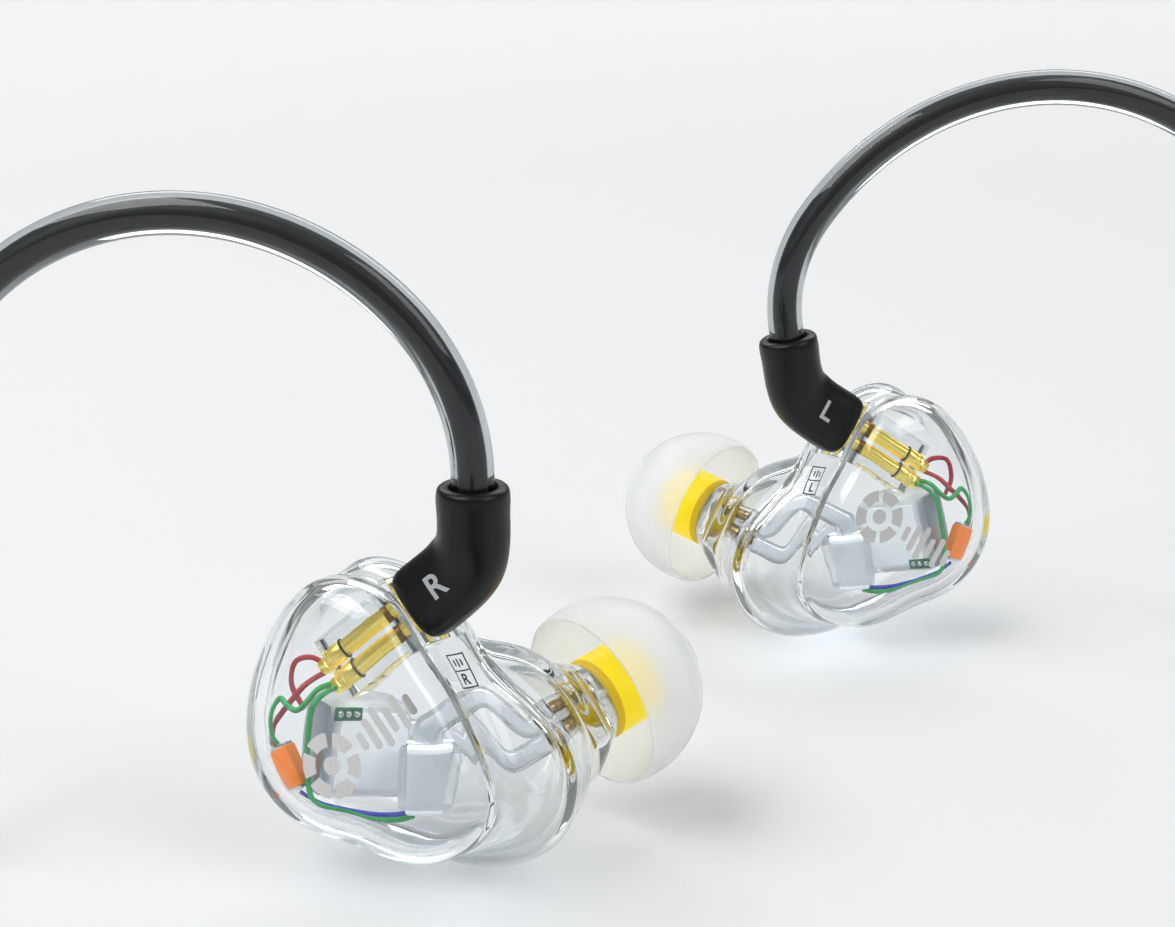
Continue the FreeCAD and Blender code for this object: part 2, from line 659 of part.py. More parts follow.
def boot(suffix, side):
    start, bend, top = boot_points(side)
    heading, upright = (bend - start).normalize(), hook_axes(side)[0]
    turn = ear_placement(side).Rotation
    across = turn.multVec(mirrored(side, socket_heading().cross(Vector(0, 0, 1))))
    width, thickness, tube = size("boot_width"), size("boot_thickness"), 2 * size("boot_top_radius")
    mean = (heading + upright).normalize()
    reach, rise = size("boot_reach"), size("boot_rise")
    stations = (
        (start, heading, 0.86, 0.86, 3.2),
        (start + heading * 0.35, heading, 0.97, 0.97, 3.2),
        (start + heading * 1.0, heading, 1.0, 1.0, 3.2),
        (start + heading * (reach * 0.55), heading, 1.0, 1.0, 2.8),
        (bend - (heading - upright) * 0.55, mean, 1.0, 1.05, 2.4),
        (bend + upright * (rise * 0.4), upright, tube / width, tube / thickness, 2),
        (top - upright * 0.7, upright, tube / width, tube / thickness, 2),
        (top - upright * 0.2, upright, 0.97 * tube / width, 0.97 * tube / thickness, 2),
        (top, upright, 0.86 * tube / width, 0.86 * tube / thickness, 2),
    )
    wires_along = []
    for centre, normal, wide, thick, power in stations:
        wires_along.append(boot_section(centre, normal, across, width * wide, thickness * thick, power))
    shape = Part.makeLoft(wires_along, True, False)
    carrier = carrier_shape()
    carrier.Placement = lead_placement(side).inverse().multiply(socket_placement(side, size("boot_gap")))
    plug_in = size("hook_plug_in")
    hole = Part.makeCylinder(size("sleeve_outer"), plug_in + 1, top - upright * plug_in, upright)
    shape = shape.cut(carrier).cut(hole)
    shaped("boot_" + suffix, largest_solid(shape), lead_placement(side))


def hook_path(side):
    """Up out of the boot, over in an arch of three arcs away from the nozzle, and down."""
    word = "right" if side > 0 else "left"
    tight, wide = size("hook_tight_" + word), size("hook_wide_" + word)
    top = boot_points(side)[2]
    upright, away = hook_axes(side)
    low = top - upright * size("hook_plug_in")
    spring = top + upright * size("hook_start_run")
    shift = (wide - tight) * math.sqrt(0.5)
    half_span = tight + shift

    def arch(radius, across, rise, degrees):
        """A point of the arch: distance from the middle of an arc's circle, turned from level."""
        turn = math.radians(degrees)
        return (spring + away * (across - radius * math.cos(turn))
                + upright * (rise + radius * math.sin(turn)))

    first = [arch(tight, tight, 0, degrees) for degrees in (22.5, 45)]
    crown = arch(wide, half_span, -shift, 90)
    last = [arch(tight, 2 * half_span - tight, 0, degrees) for degrees in (135, 157.5)]
    fall = spring + away * (2 * half_span)
    end = fall - upright * size("hook_end_run")
    edges = [Part.LineSegment(low, spring), Part.Arc(spring, *first),
             Part.Arc(first[1], crown, last[0]), Part.Arc(*last, fall), Part.LineSegment(fall, end)]
    return Part.Wire([edge.toShape() for edge in edges]), end


def hook_sleeve(suffix, side):
    path, _ = hook_path(side)
    shape = swept(path, size("sleeve_outer")).cut(swept(path, size("sleeve_bore")))
    shaped("hook_sleeve_" + suffix, shape, lead_placement(side))


def hook_lead(suffix, side):
    path, _ = hook_path(side)
    shaped("hook_lead_" + suffix, swept(path, size("lead_radius")), lead_placement(side))


# ---- loose cable --------------------------------------------------------------------------------

BRANCH_ROUTES = {
    "r": ((-0.2, -1.0, -14), (-1.4, -4.0, -20.6), (-2.4, -12, 0), (-2.6, -22, 0), (0.0, -33, 0),
          (6.2, -43, 0), (14.5, -50.5, 0), (24, -54.6, 0)),
    "l": ((2.4, -0.8, -12), (3.2, -3.0, -22), (3.0, -8.0, -28.8), (1.6, -16, 0), (-0.4, -24, 0),
          (-2.4, -36, 0), (-6.0, -48, 0), (-12.4, -58, 0), (-21.5, -64.6, 0), (-32, -69.4, 0),
          (-43, -73.2, 0)),
}


def coil_point(angle, radius, height):
    turn = math.radians(angle)
    middle = Vector(size("coil_x"), size("coil_y"), height)
    return middle + Vector(math.cos(turn), math.sin(turn), 0) * radius


def branch_route(suffix, side):
    """From the end of the ear hook down to the floor and forward to the coil, in the row's frame."""
    start = lead_placement(side).multVec(hook_path(side)[1])
    points = [start]
    for x, y, drop in BRANCH_ROUTES[suffix]:
        height = size("lead_radius") if drop == 0 else start.z + drop
        points.append(Vector(start.x + x, start.y + y, max(height, size("lead_radius"))))
    entry = -90 if side > 0 else 90
    points.append(coil_point(entry, size("coil_mid"), size("coil_height") / 2 + size("coil_lift")))
    return points


def branch_cable(suffix, side):
    points = branch_route(suffix, side)
    path, radii = rounded_path(points)
    print("branch_cable_%s length %.1f radii %s" % (suffix, path.Length, ["%.1f" % r for r in radii]))
    shaped("branch_cable_" + suffix, swept(path, size("lead_radius")), Placement())


def cable_coil():
    """The wound cable as one ring with rounded edges, resting on its tie."""
    low, high = "coil_lift", "coil_lift + coil_height"
    inner, outer = "coil_mid - coil_half_width", "coil_mid + coil_half_width"
    corners = [(inner, low + " + main_radius"), (inner + " + main_radius", low),
               (outer + " - main_radius", low), (outer, low + " + main_radius"),
               (outer, high + " - main_radius"), (outer + " - main_radius", high),
               (inner + " + main_radius", high), (inner, high + " - main_radius")]
    turned("cable_coil", corners, Placement(coil_point(0, 0, 0), Rotation()))


def coil_tie():
    """A strap round the ring's section."""
    wall, width = size("tie_wall"), size("tie_width")
    deep, tall = 2 * size("coil_half_width"), size("coil_height")
    room = width ** 2 / (8 * (size("coil_mid") - size("coil_half_width")))
    start = Vector(-deep / 2 - 1.5 * room, -width / 2, wall)
    outer = Part.makeBox(deep + 2 * room + 2 * wall, width, tall + 2 * wall, start - Vector(wall, 0, wall))
    inner = Part.makeBox(deep + 2 * room, width, tall, start)
    place = Placement(coil_point(size("tie_angle"), size("coil_mid"), 0),
                      Rotation(Vector(0, 0, 1), size("tie_angle")))
    shaped("coil_tie", outer.cut(inner), place)


def y_splitter():
    length, radius = "splitter_length", "splitter_radius"
    corners = [("0", "0"), ("main_radius + 0.4", "0"), (radius, "2.5"), (radius, length + " - 1.5"),
               (radius + " - 0.6", length), ("0", length)]
    height = size("coil_lift") + size("coil_height") + size("splitter_radius")
    middle = coil_point(size("splitter_angle"), size("coil_mid"), height)
    angle = math.radians(size("splitter_angle") - 90)
    heading = Vector(math.cos(angle), math.sin(angle), 0)
    place = Placement(middle - heading * (size("splitter_length") / 2), Rotation(Vector(0, 0, 1), heading))
    turned("y_splitter", corners, place)


def plug_placement(along):
    angle = math.radians(size("plug_angle"))
    heading = Vector(math.cos(angle), math.sin(angle), 0)
    start = Vector(size("plug_x"), size("plug_y"), size("barrel_radius"))
    return Placement(start + heading * along, Rotation(Vector(0, 0, 1), heading))


def plug_lead():
    """The last free stretch of the main cable, from the coil to the plug's strain relief."""
    end = plug_placement(0).Base
    heading = plug_placement(0).Rotation.multVec(Vector(0, 0, 1))
    radius = size("coil_mid") + size("coil_half_width") - size("main_radius")
    points = [coil_point(-96, radius, 2.6), coil_point(-72, radius + 1.0, 2.2),
              end - heading * 7 + Vector(0, 0, -0.9), end]
    path, radii = rounded_path(points)
    print("plug_lead length %.1f radii %s" % (path.Length, ["%.1f" % r for r in radii]))
    shaped("plug_lead", swept(path, size("main_radius")), Placement())


def plug():
    relief = [("0", "0"), ("relief_start_radius", "0"), ("relief_end_radius", "relief_length"),
              ("0", "relief_length")]
    turned("plug_relief", relief, plug_placement(0))
    at = size("relief_length")
    edge = "barrel_edge"
    barrel = [("0", "0"), ("barrel_radius - " + edge, "0"), ("barrel_radius", edge),
              ("barrel_radius", "barrel_length - " + edge), ("barrel_radius - " + edge, "barrel_length"),
              ("0", "barrel_length")]
    turned("plug_barrel", barrel, plug_placement(at))
    at += size("barrel_length")
    sleeve = [("jack_core", "0"), ("jack_radius + 0.6", "0"), ("jack_radius + 0.6", "0.6"),
              ("jack_radius", "0.6"), ("jack_radius", "jack_sleeve_length"),
              ("jack_core", "jack_sleeve_length")]
    turned("jack_sleeve", sleeve, plug_placement(at))
    ring_at = at + size("jack_sleeve_length") + size("jack_gap")
    ring = [("jack_core", "0"), ("jack_radius", "0"), ("jack_radius", "jack_ring_length"),
            ("jack_core", "jack_ring_length")]
    turned("jack_ring", ring, plug_placement(ring_at))
    tip_at = ring_at + size("jack_ring_length") + size("jack_gap")
    tip = [("0", "0"), ("jack_waist", "0"), ("jack_radius", "0.9"), ("jack_radius", "1.5"),
           ("jack_waist", "2.4"), ("jack_radius - 0.1", "2.9"), ("0.35", "jack_tip_length"),
           ("0", "jack_tip_length")]
    turned("jack_tip", tip, plug_placement(tip_at))
    bands = Part.makeCylinder(size("jack_core"), tip_at - at)
    for start in (ring_at - size("jack_gap"), tip_at - size("jack_gap")):
        band = Part.makeCylinder(size("jack_radius"), size("jack_gap"), Vector(0, 0, start - at))
        bands = bands.fuse(band)
    shaped("jack_insulator", bands.removeSplitter(), plug_placement(at))


# ---- the whole object ---------------------------------------------------------------------------

def earpiece(suffix, side):
    shell_body(suffix, side)
    faceplate(suffix, side)
    nozzle_screen(suffix, side)
    socket_block(suffix, side)
    socket_sleeves(suffix, side)
    sleeve_seals(suffix, side)
    woofer(suffix, side)
    tweeter(suffix, side)
    tweeter_boot(suffix, side)
    capacitor(suffix, side)
    sound_tubes(suffix, side)
    dampers(suffix, side)
    wires("red_wires", RED_ROUTES, suffix, side)
    wires("green_wires", GREEN_ROUTES, suffix, side)
    wires("blue_wire", BLUE_ROUTES, suffix, side)
    eartip_core(suffix, side)
    eartip_dome(suffix, side)


def lead(suffix, side):
    boot(suffix, side)
    pin_carrier(suffix, side)
    plug_pins(suffix, side)
    hook_sleeve(suffix, side)
    hook_lead(suffix, side)
    branch_cable(suffix, side)


def check_and_export():
    doc.recompute()
    for item in doc.Objects:
        if "Invalid" in item.State or "Error" in item.State:
            raise ValueError("%s did not build: %s" % (item.Label, item.State))
    os.makedirs("parts", exist_ok=True)
    for piece in built:
        shape = piece.Shape
        if shape.isNull() or not shape.isValid():
            raise ValueError("%s has a bad shape" % piece.Label)
    for piece in built:
        piece.Shape.exportStep("parts/%s.step" % piece.Label)


def main():
    fill_sheet()
    for suffix, side in SIDES.items():
        earpiece(suffix, side)
        lead(suffix, side)
    cable_coil()
    coil_tie()
    y_splitter()
    plug_lead()
    plug()
    check_and_export()
    print("%d pieces" % len(built))


main()
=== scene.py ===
import math

import bmesh
import bpy
import numpy as np
from mathutils import Matrix, Vector
from mathutils.bvhtree import BVHTree


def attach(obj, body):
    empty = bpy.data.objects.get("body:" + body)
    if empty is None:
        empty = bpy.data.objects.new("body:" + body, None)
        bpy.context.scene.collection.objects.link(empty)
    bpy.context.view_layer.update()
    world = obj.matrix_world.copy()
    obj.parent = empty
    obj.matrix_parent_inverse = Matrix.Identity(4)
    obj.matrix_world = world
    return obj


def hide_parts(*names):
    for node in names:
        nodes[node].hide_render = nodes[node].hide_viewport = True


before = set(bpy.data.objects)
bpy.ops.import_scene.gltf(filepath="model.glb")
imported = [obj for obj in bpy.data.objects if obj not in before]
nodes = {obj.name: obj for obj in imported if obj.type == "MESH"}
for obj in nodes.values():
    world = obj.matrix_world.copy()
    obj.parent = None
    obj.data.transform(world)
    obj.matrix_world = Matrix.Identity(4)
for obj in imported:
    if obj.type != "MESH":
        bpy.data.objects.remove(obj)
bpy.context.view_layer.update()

MM = 0.001
EARS = {
    "r": {"side": 1, "centre": (-19.972, -24.782, 12.378), "turn": 25, "lean": 12, "roll": 0,
          "tilt": 0, "tight": 15.6, "wide": 20.0},
    "l": {"side": -1, "centre": (19.2, 15.718, 12.756), "turn": 22.5, "lean": 10, "roll": 8,
          "tilt": 10.6, "tight": 12.4, "wide": 23.5},
}
EYE = (-0.005902, -0.155642, 0.072398)
LOOK_DOWN = 18
LENS = 66.179


def linked(name, data):
    item = bpy.data.objects.new(name, data)
    bpy.context.scene.collection.objects.link(item)
    return item


# ---- camera, floor and light

def add_camera():
    data = bpy.data.cameras.new("camera")
    data.sensor_fit = "HORIZONTAL"
    data.sensor_width = 36
    data.lens = LENS
    data.clip_start = 0.005
    data.clip_end = 20
    camera = linked("camera", data)
    camera.location = EYE
    camera.rotation_euler = (math.radians(90 - LOOK_DOWN), 0, 0)
    bpy.context.scene.camera = camera


def area_light(name, place, size, power):
    """A soft white light that looks at the middle of the floor."""
    data = bpy.data.lights.new(name, "AREA")
    data.shape = "RECTANGLE"
    data.size, data.size_y = size
    data.energy = power
    light = linked(name, data)
    light.location = place
    light.rotation_euler = (-Vector(place)).to_track_quat("-Z", "Y").to_euler()


def add_node(tree, kind, **values):
    """A shader node with its inputs set by name, or linked where the value is an output."""
    node = tree.nodes.new("ShaderNode" + kind)
    for name, value in values.items():
        socket = node.inputs[name.replace("_", " ")]
        if isinstance(value, bpy.types.NodeSocket):
            tree.links.new(value, socket)
        else:
            socket.default_value = value
    return node


SKY_LEVELS = ((0.03, 0.75), (0.08, 0.22), (0.14, 0.16), (0.20, 0.6), (0.30, 0.35), (0.5, 0.3))


def mix_shaders(tree, factor, first, second):
    mix = add_node(tree, "MixShader", Fac=factor)
    tree.links.new(first.outputs[0], mix.inputs[1])
    tree.links.new(second.outputs[0], mix.inputs[2])
    return mix.outputs[0]


def studio_world():
    """A bright sky over a darker band low down, which draws the edges of clear plastic."""
    world = bpy.data.worlds.new("studio")
    bpy.context.scene.world = world
    world.use_nodes = True
    tree = world.node_tree
    tree.nodes.clear()
    coord = add_node(tree, "TexCoord")
    split = add_node(tree, "SeparateXYZ", Vector=coord.outputs["Generated"])
    ramp = add_node(tree, "ValToRGB", Fac=split.outputs["Z"])
    stops = ramp.color_ramp.elements
    stops[0].position, stops[0].color = 0.0, (0.80, 0.82, 0.83, 1)
    stops[1].position, stops[1].color = 1.0, (0.62, 0.63, 0.64, 1)
    for place, level in SKY_LEVELS:
        stops.new(place).color = (level * 0.97, level * 0.99, level, 1)
    back = add_node(tree, "Background", Color=ramp.outputs[0], Strength=0.72)
    plain = add_node(tree, "Background", Color=(0.84, 0.85, 0.86, 1))
    seen = add_node(tree, "LightPath").outputs["Is Camera Ray"]
    add_node(tree, "OutputWorld", Surface=mix_shaders(tree, seen, back, plain))


def build_floor():
    """A plain pale floor that stays light far from the lamps."""
    mesh = bpy.data.meshes.new("floor")
    half = 4.0
    corners = [(-half, -half, 0), (half, -half, 0), (half, half, 0), (-half, half, 0)]
    mesh.from_pydata(corners, [], [(0, 1, 2, 3)])
    paper = surface("paper", (0.80, 0.805, 0.81), 0.75, grain=120, vary=0.006,
                    Emission_Color=(0.97, 0.985, 1.0, 1))
    tree = paper.node_tree
    reach = tree.nodes.new("ShaderNodeVectorMath")
    reach.operation = "LENGTH"
    tree.links.new(add_node(tree, "TexCoord").outputs["Object"], reach.inputs[0])
    glow = spread(tree, reach.outputs["Value"], 0.0, 0.42, 0.25, 1.6)
    tree.links.new(glow, tree.nodes["Principled BSDF"].inputs["Emission Strength"])
    mesh.materials.append(paper)
    linked("floor", mesh)


# ---- materials

def new_material(name):
    mat = bpy.data.materials.new(name)
    mat.use_nodes = True
    return mat, mat.node_tree, mat.node_tree.nodes["Principled BSDF"]


def noise(tree, scale, detail=3.0, stretch=(1, 1, 1)):
    coord = add_node(tree, "TexCoord").outputs["Object"]
    mapping = add_node(tree, "Mapping", Vector=coord, Scale=stretch)
    return add_node(tree, "TexNoise", Vector=mapping.outputs[0], Scale=scale, Detail=detail).outputs["Fac"]


def spread(tree, source, low, high, first=0.3, last=0.7):
    return add_node(tree, "MapRange", Value=source, From_Min=first, From_Max=last, To_Min=low,
                    To_Max=high).outputs[0]


def relief(tree, shader, height, strength, distance):
    bump = add_node(tree, "Bump", Height=height, Strength=strength, Distance=distance)
    tree.links.new(bump.outputs[0], shader.inputs["Normal"])


def surface(name, color, rough, metal=0.0, grain=900, bump=0.0, vary=0.08, stretch=(1, 1, 1),
            **sockets):
    """A material whose colour, roughness and relief vary a little with a fine noise."""
    mat, tree, shader = new_material(name)
    fine = noise(tree, grain, stretch=stretch)
    mix = tree.nodes.new("ShaderNodeMix")
    mix.data_type = "RGBA"
    mix.inputs["A"].default_value = [c * (1 - vary) for c in color] + [1]
    mix.inputs["B"].default_value = [min(1, c * (1 + vary)) for c in color] + [1]
    tree.links.new(fine, mix.inputs["Factor"])
    tree.links.new(mix.outputs["Result"], shader.inputs["Base Color"])
    tree.links.new(spread(tree, fine, rough * 0.85, min(1, rough * 1.15)), shader.inputs["Roughness"])
    shader.inputs["Metallic"].default_value = metal
    if bump:
        relief(tree, shader, fine, bump, 0.00003)
    for socket, value in sockets.items():
        shader.inputs[socket.replace("_", " ")].default_value = value
    return mat


MOST_BOUNCES = 3.5


def clear(name, color, rough, ior, shade=(0.9, 0.92, 0.93), ripple=0.0):
    """Clear plastic. Light that lights what is inside, or has bounced often, goes straight through."""
    mat, tree, shader = new_material(name)
    fine = noise(tree, 300)
    tree.links.new(spread(tree, fine, rough * 0.8, rough * 1.2), shader.inputs["Roughness"])
    shader.inputs["Base Color"].default_value = (*color, 1)
    shader.inputs["IOR"].default_value = ior
    shader.inputs["Transmission Weight"].default_value = 1.0
    if ripple:
        relief(tree, shader, noise(tree, 170, detail=1.5), ripple, 0.0006)
    path = add_node(tree, "LightPath")
    deep = add_node(tree, "Math")
    deep.operation = "GREATER_THAN"
    deep.inputs[1].default_value = MOST_BOUNCES
    tree.links.new(path.outputs["Ray Depth"], deep.inputs[0])
    either = add_node(tree, "Math")
    either.operation = "MAXIMUM"
    tree.links.new(path.outputs["Is Shadow Ray"], either.inputs[0])
    tree.links.new(deep.outputs[0], either.inputs[1])
    passing = add_node(tree, "BsdfTransparent", Color=(*shade, 1))
    tree.links.new(mix_shaders(tree, either.outputs[0], shader, passing),
                   tree.nodes["Material Output"].inputs["Surface"])
    return mat


ACRYLIC = clear("clear_acrylic", (0.965, 0.978, 0.985), 0.012, 1.47, ripple=0.3)
BLOCK = clear("clear_block", (0.985, 0.99, 0.992), 0.01, 1.45)
JACKET = clear("hook_jacket", (0.52, 0.56, 0.58), 0.02, 1.47)
TUBE = clear("sound_tube", (0.98, 0.985, 0.99), 0.30, 1.25, shade=(0.95, 0.96, 0.97))
# The tip's silicone also glows faintly (emission 0.05): painted light that whitens the dome.
DOME = surface("tip_silicone", (0.965, 0.975, 0.98), 0.42, grain=400, vary=0.01,
               Transmission_Weight=0.72, IOR=1.25, Emission_Color=(0.96, 0.98, 1.0, 1),
               Emission_Strength=0.05)
# The yellow core glows (emission 0.28): painted light that brightens it.
CORE = surface("tip_core", (1.0, 0.76, 0.004), 0.4, vary=0.02, Emission_Color=(1.0, 0.72, 0.0, 1),
               Emission_Strength=0.28)
# The lip is a shaded copy of the core's yellow: its darker mustard is painted shade, and its emission is
# painted glow.
CORE_LIP_PAINTED_SHADE = surface("tip_core_lip_painted_shade", (0.80, 0.55, 0.012), 0.45, vary=0.04,
                   Emission_Color=(0.9, 0.55, 0.0, 1), Emission_Strength=0.1)
BLACK = surface("satin_elbow", (0.0035, 0.0042, 0.005), 0.34, bump=0.08, grain=2600,
                Specular_IOR_Level=0.3)
LEAD = surface("black_lead", (0.0035, 0.0045, 0.005), 0.42, grain=400, vary=0.03)
INK = surface("grey_print", (0.50, 0.52, 0.54), 0.45)
MARK = surface("silver_mark", (0.72, 0.70, 0.70), 0.25, metal=0.9, grain=130, vary=0.25)
LINE = surface("dark_print", (0.03, 0.035, 0.04), 0.4)
# The gold also glows (emission 0.2): painted light that brightens the plating.
GOLD = surface("gold_plate", (1.0, 0.80, 0.22), 0.28, metal=1.0, grain=500, vary=0.02,
               Emission_Color=(1.0, 0.68, 0.06, 1), Emission_Strength=0.2)
SEAL = surface("black_seal", (0.008, 0.008, 0.008), 0.4)
GROOVE = surface("amber_gap", (0.30, 0.15, 0.02), 0.4, metal=0.6)
FROST = clear("frosted_sleeve", (0.97, 0.98, 0.985), 0.30, 1.25, shade=(0.93, 0.94, 0.95))
# The driver's lid glows (emission 0.12): painted light that whitens it.
PALE = surface("driver_lid", (0.90, 0.92, 0.93), 0.4, vary=0.03, Emission_Color=(0.9, 0.95, 1.0, 1),
               Emission_Strength=0.12)
# The driver's can glows too (emission 0.12): painted light that whitens it.
STEEL = surface("driver_can", (0.90, 0.92, 0.94), 0.38, metal=0.15, grain=700, vary=0.04, bump=0.05,
                stretch=(1, 6, 1), Emission_Color=(0.9, 0.95, 1.0, 1), Emission_Strength=0.12)
SLATE = surface("driver_plate", (0.36, 0.41, 0.45), 0.36, metal=0.5, grain=700, bump=0.05)
BOARD = surface("solder_mask", (0.02, 0.16, 0.07), 0.3)
SOLDER = surface("solder", (0.72, 0.73, 0.75), 0.25, metal=1.0, bump=0.2)
# The capacitor glows (emission 0.12): painted light that brightens its orange.
ORANGE = surface("capacitor_body", (0.88, 0.20, 0.003), 0.42, bump=0.06,
                 Emission_Color=(1.0, 0.26, 0.0, 1), Emission_Strength=0.12)
RED = surface("wire_red", (0.42, 0.018, 0.03), 0.28)
GREEN = surface("wire_green", (0.004, 0.33, 0.075), 0.28)
BLUE = surface("wire_blue", (0.012, 0.025, 0.5), 0.28)
AMBER = surface("damper_cup", (0.55, 0.36, 0.16), 0.25, metal=0.8, grain=1500, bump=0.3)
MESH = surface("screen_mesh", (0.55, 0.55, 0.53), 0.4, metal=1.0, grain=3000, bump=0.8)
STRAP = surface("tie_weave", (0.02, 0.021, 0.024), 0.8, grain=2500, bump=0.8, Sheen_Weight=0.4)
SHELL_METAL = surface("plug_shell", (0.02, 0.021, 0.023), 0.32, metal=0.5, bump=0.1)
INSULATOR = surface("insulator", (0.02, 0.02, 0.02), 0.4)


# ---- frames of the two earpieces

def ear_matrix(ear):
    facts = EARS[ear]
    side = facts["side"]
    turn = Matrix.Rotation(math.radians(-side * facts["turn"]), 4, "Z")
    lean = Matrix.Rotation(math.radians(90 - facts["lean"]), 4, "X")
    roll = Matrix.Rotation(math.radians(facts["roll"]), 4, "Z")
    return Matrix.Translation(Vector(facts["centre"]) * MM) @ turn @ lean @ roll


def on_ear(ear, point):
    """World position, in metres, of a point given in millimetres in the right earpiece's frame."""
    side = EARS[ear]["side"]
    return ear_matrix(ear) @ (Vector((side * point[0], point[1], point[2])) * MM)


def ear_direction(ear, direction):
    side = EARS[ear]["side"]
    mirrored = Vector((side * direction[0], direction[1], direction[2]))
    return (ear_matrix(ear).to_3x3() @ mirrored).normalized()


def axes(x, y, z):
    return Matrix((x, y, z)).transposed().to_4x4()


def placed(ear, point, z_axis, x_axis):
    """Matrix of a piece whose own z and x point along directions of the earpiece's frame."""
    z = ear_direction(ear, z_axis)
    x = ear_direction(ear, x_axis)
    x = (x - z * x.dot(z)).normalized()
    return Matrix.Translation(on_ear(ear, point)) @ axes(x, z.cross(x), z)


NOZZLE = Vector((0.4, 0.38, -0.835)).normalized()
NECK = Vector((9.6, 0.15, -13.1))
ASIDE = NOZZLE.cross(Vector((0, 0, 1))).normalized()
SOCKET_ANGLE = math.radians(43.5)
SOCKET = Vector((math.cos(SOCKET_ANGLE), math.sin(SOCKET_ANGLE), 0))
SOCKET_FACE = Vector((1.27, 7.15, -2.3))
ACROSS = SOCKET.cross(Vector((0, 0, 1)))


def nozzle_point(along, aside=0.0):
    return NECK + NOZZLE * along + ASIDE * aside


def socket_point(out, aside=0.0, up=0.0):
    return SOCKET_FACE + SOCKET * out + ACROSS * aside + Vector((0, 0, up))


# ---- mesh makers

def piece(name, verts, faces, mat, body, replaces=(), sharp=35):
    mesh = bpy.data.meshes.new(name)
    mesh.from_pydata([tuple(v) for v in verts], [], faces)
    mesh.validate()
    tidy = bmesh.new()
    tidy.from_mesh(mesh)
    bmesh.ops.recalc_face_normals(tidy, faces=tidy.faces)
    tidy.to_mesh(mesh)
    tidy.free()
    return finish_piece(name, mesh, mat, body, replaces, sharp)


def finish_piece(name, mesh, mat, body, replaces=(), sharp=35):
    for face in mesh.polygons:
        face.use_smooth = True
    if sharp:
        mesh.set_sharp_from_angle(angle=math.radians(sharp))
    mesh.materials.append(mat)
    item = linked(name, mesh)
    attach(item, body)
    if replaces:
        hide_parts(*replaces)
    return item


def ring_faces(rings, count, closed=False):
    faces = []
    for ring in range(rings if closed else rings - 1):
        here, there = ring * count, (ring + 1) % rings * count
        for step in range(count):
            ahead = (step + 1) % count
            faces.append((here + step, here + ahead, there + ahead, there + step))
    return faces


def loft(name, rings, mat, body, replaces=(), caps=True, closed=False, sharp=35):
    count = len(rings[0])
    verts = [point for ring in rings for point in ring]
    faces = ring_faces(len(rings), count, closed)
    if caps and not closed:
        faces.append(tuple(range(count))[::-1])
        faces.append(tuple(range(len(verts) - count, len(verts))))
    return piece(name, verts, faces, mat, body, replaces, sharp)


def circle(steps):
    """Cosine and sine of evenly spaced angles."""
    return [(math.cos(2 * math.pi * step / steps), math.sin(2 * math.pi * step / steps))
            for step in range(steps)]


def lathe(name, profile, matrix, mat, body, replaces=(), steps=48, closed=False, sharp=35):
    """Turns (radius, height) in millimetres about the matrix's z axis."""
    rings = [[matrix @ (Vector((radius * c, radius * s, height)) * MM) for c, s in circle(steps)]
             for radius, height in profile]
    return loft(name, rings, mat, body, replaces, closed=closed, sharp=sharp)


def tube_rings(points, radii, steps):
    """Rings round a path, turned as little as possible from one to the next."""
    rings = []
    normal = None
    for index, point in enumerate(points):
        before = points[max(index - 1, 0)]
        after = points[min(index + 1, len(points) - 1)]
        heading = (after - before).normalized()
        if normal is None:
            normal = heading.orthogonal().normalized()
        normal = (normal - heading * normal.dot(heading)).normalized()
        other = heading.cross(normal)
        radius = radii[index] if isinstance(radii, list) else radii
        rings.append([point + (normal * c + other * s) * radius for c, s in circle(steps)])
    return rings


def tube(name, points, radius, mat, body, replaces=(), steps=20):
    return loft(name, tube_rings(points, radius, steps), mat, body, replaces)


def hollow_tube(name, points, outer, inner, mat, body, replaces=(), steps=24):
    rings = tube_rings(points, outer, steps) + tube_rings(points, inner, steps)[::-1]
    return loft(name, rings, mat, body, replaces, closed=True)


def flowing(points, per=8):
    """Points on a smooth curve through the given ones."""
    out = []
    count = len(points)
    for index in range(count - 1):
        p0, p1 = points[max(index - 1, 0)], points[index]
        p2, p3 = points[index + 1], points[min(index + 2, count - 1)]
        for step in range(per):
            t = step / per
            out.append(0.5 * (2 * p1 + (p2 - p0) * t + (2 * p0 - 5 * p1 + 4 * p2 - p3) * t ** 2
                              + (3 * p1 - p0 - 3 * p2 + p3) * t ** 3))
    out.append(points[-1])
    return out


def rounded_box(name, size, bevel, matrix, mat, body, replaces=(), segments=3):
    """A box of the given size in millimetres with rounded edges."""
    work = bmesh.new()
    bmesh.ops.create_cube(work, size=1)
    bmesh.ops.scale(work, vec=Vector(size) * MM, verts=work.verts)
    bmesh.ops.bevel(work, geom=work.edges[:] + work.verts[:], offset=bevel * MM, segments=segments,
                    profile=0.5, affect="EDGES")
    bmesh.ops.transform(work, matrix=matrix, verts=work.verts)
    mesh = bpy.data.meshes.new(name)
    work.to_mesh(mesh)
    work.free()
    return finish_piece(name, mesh, mat, body, replaces)


def evaluated_mesh(item):
    bpy.context.view_layer.update()
    return bpy.data.meshes.new_from_object(item.evaluated_get(bpy.context.evaluated_depsgraph_get()))


def cut(item, *cutters):
    """Cuts pieces out of a mesh piece and removes them."""
    for cutter in cutters:
        change = item.modifiers.new("cut", "BOOLEAN")
        change.operation = "DIFFERENCE"
        change.solver = "EXACT"
        change.object = cutter
    mesh = evaluated_mesh(item)
    item.modifiers.clear()
    item.data = mesh
    for face in mesh.polygons:
        face.use_smooth = True
    mesh.set_sharp_from_angle(angle=math.radians(30))
    for cutter in cutters:
        bpy.data.objects.remove(cutter)


def socket_cutter(ear, start, end, width, thickness):
    matrix = placed(ear, socket_point((start + end) / 2), SOCKET, ACROSS)
    return rounded_box("cutter", (width, thickness, end - start), 0.05, matrix, ACRYLIC, "lead",
                       segments=1)


# ---- clear shell

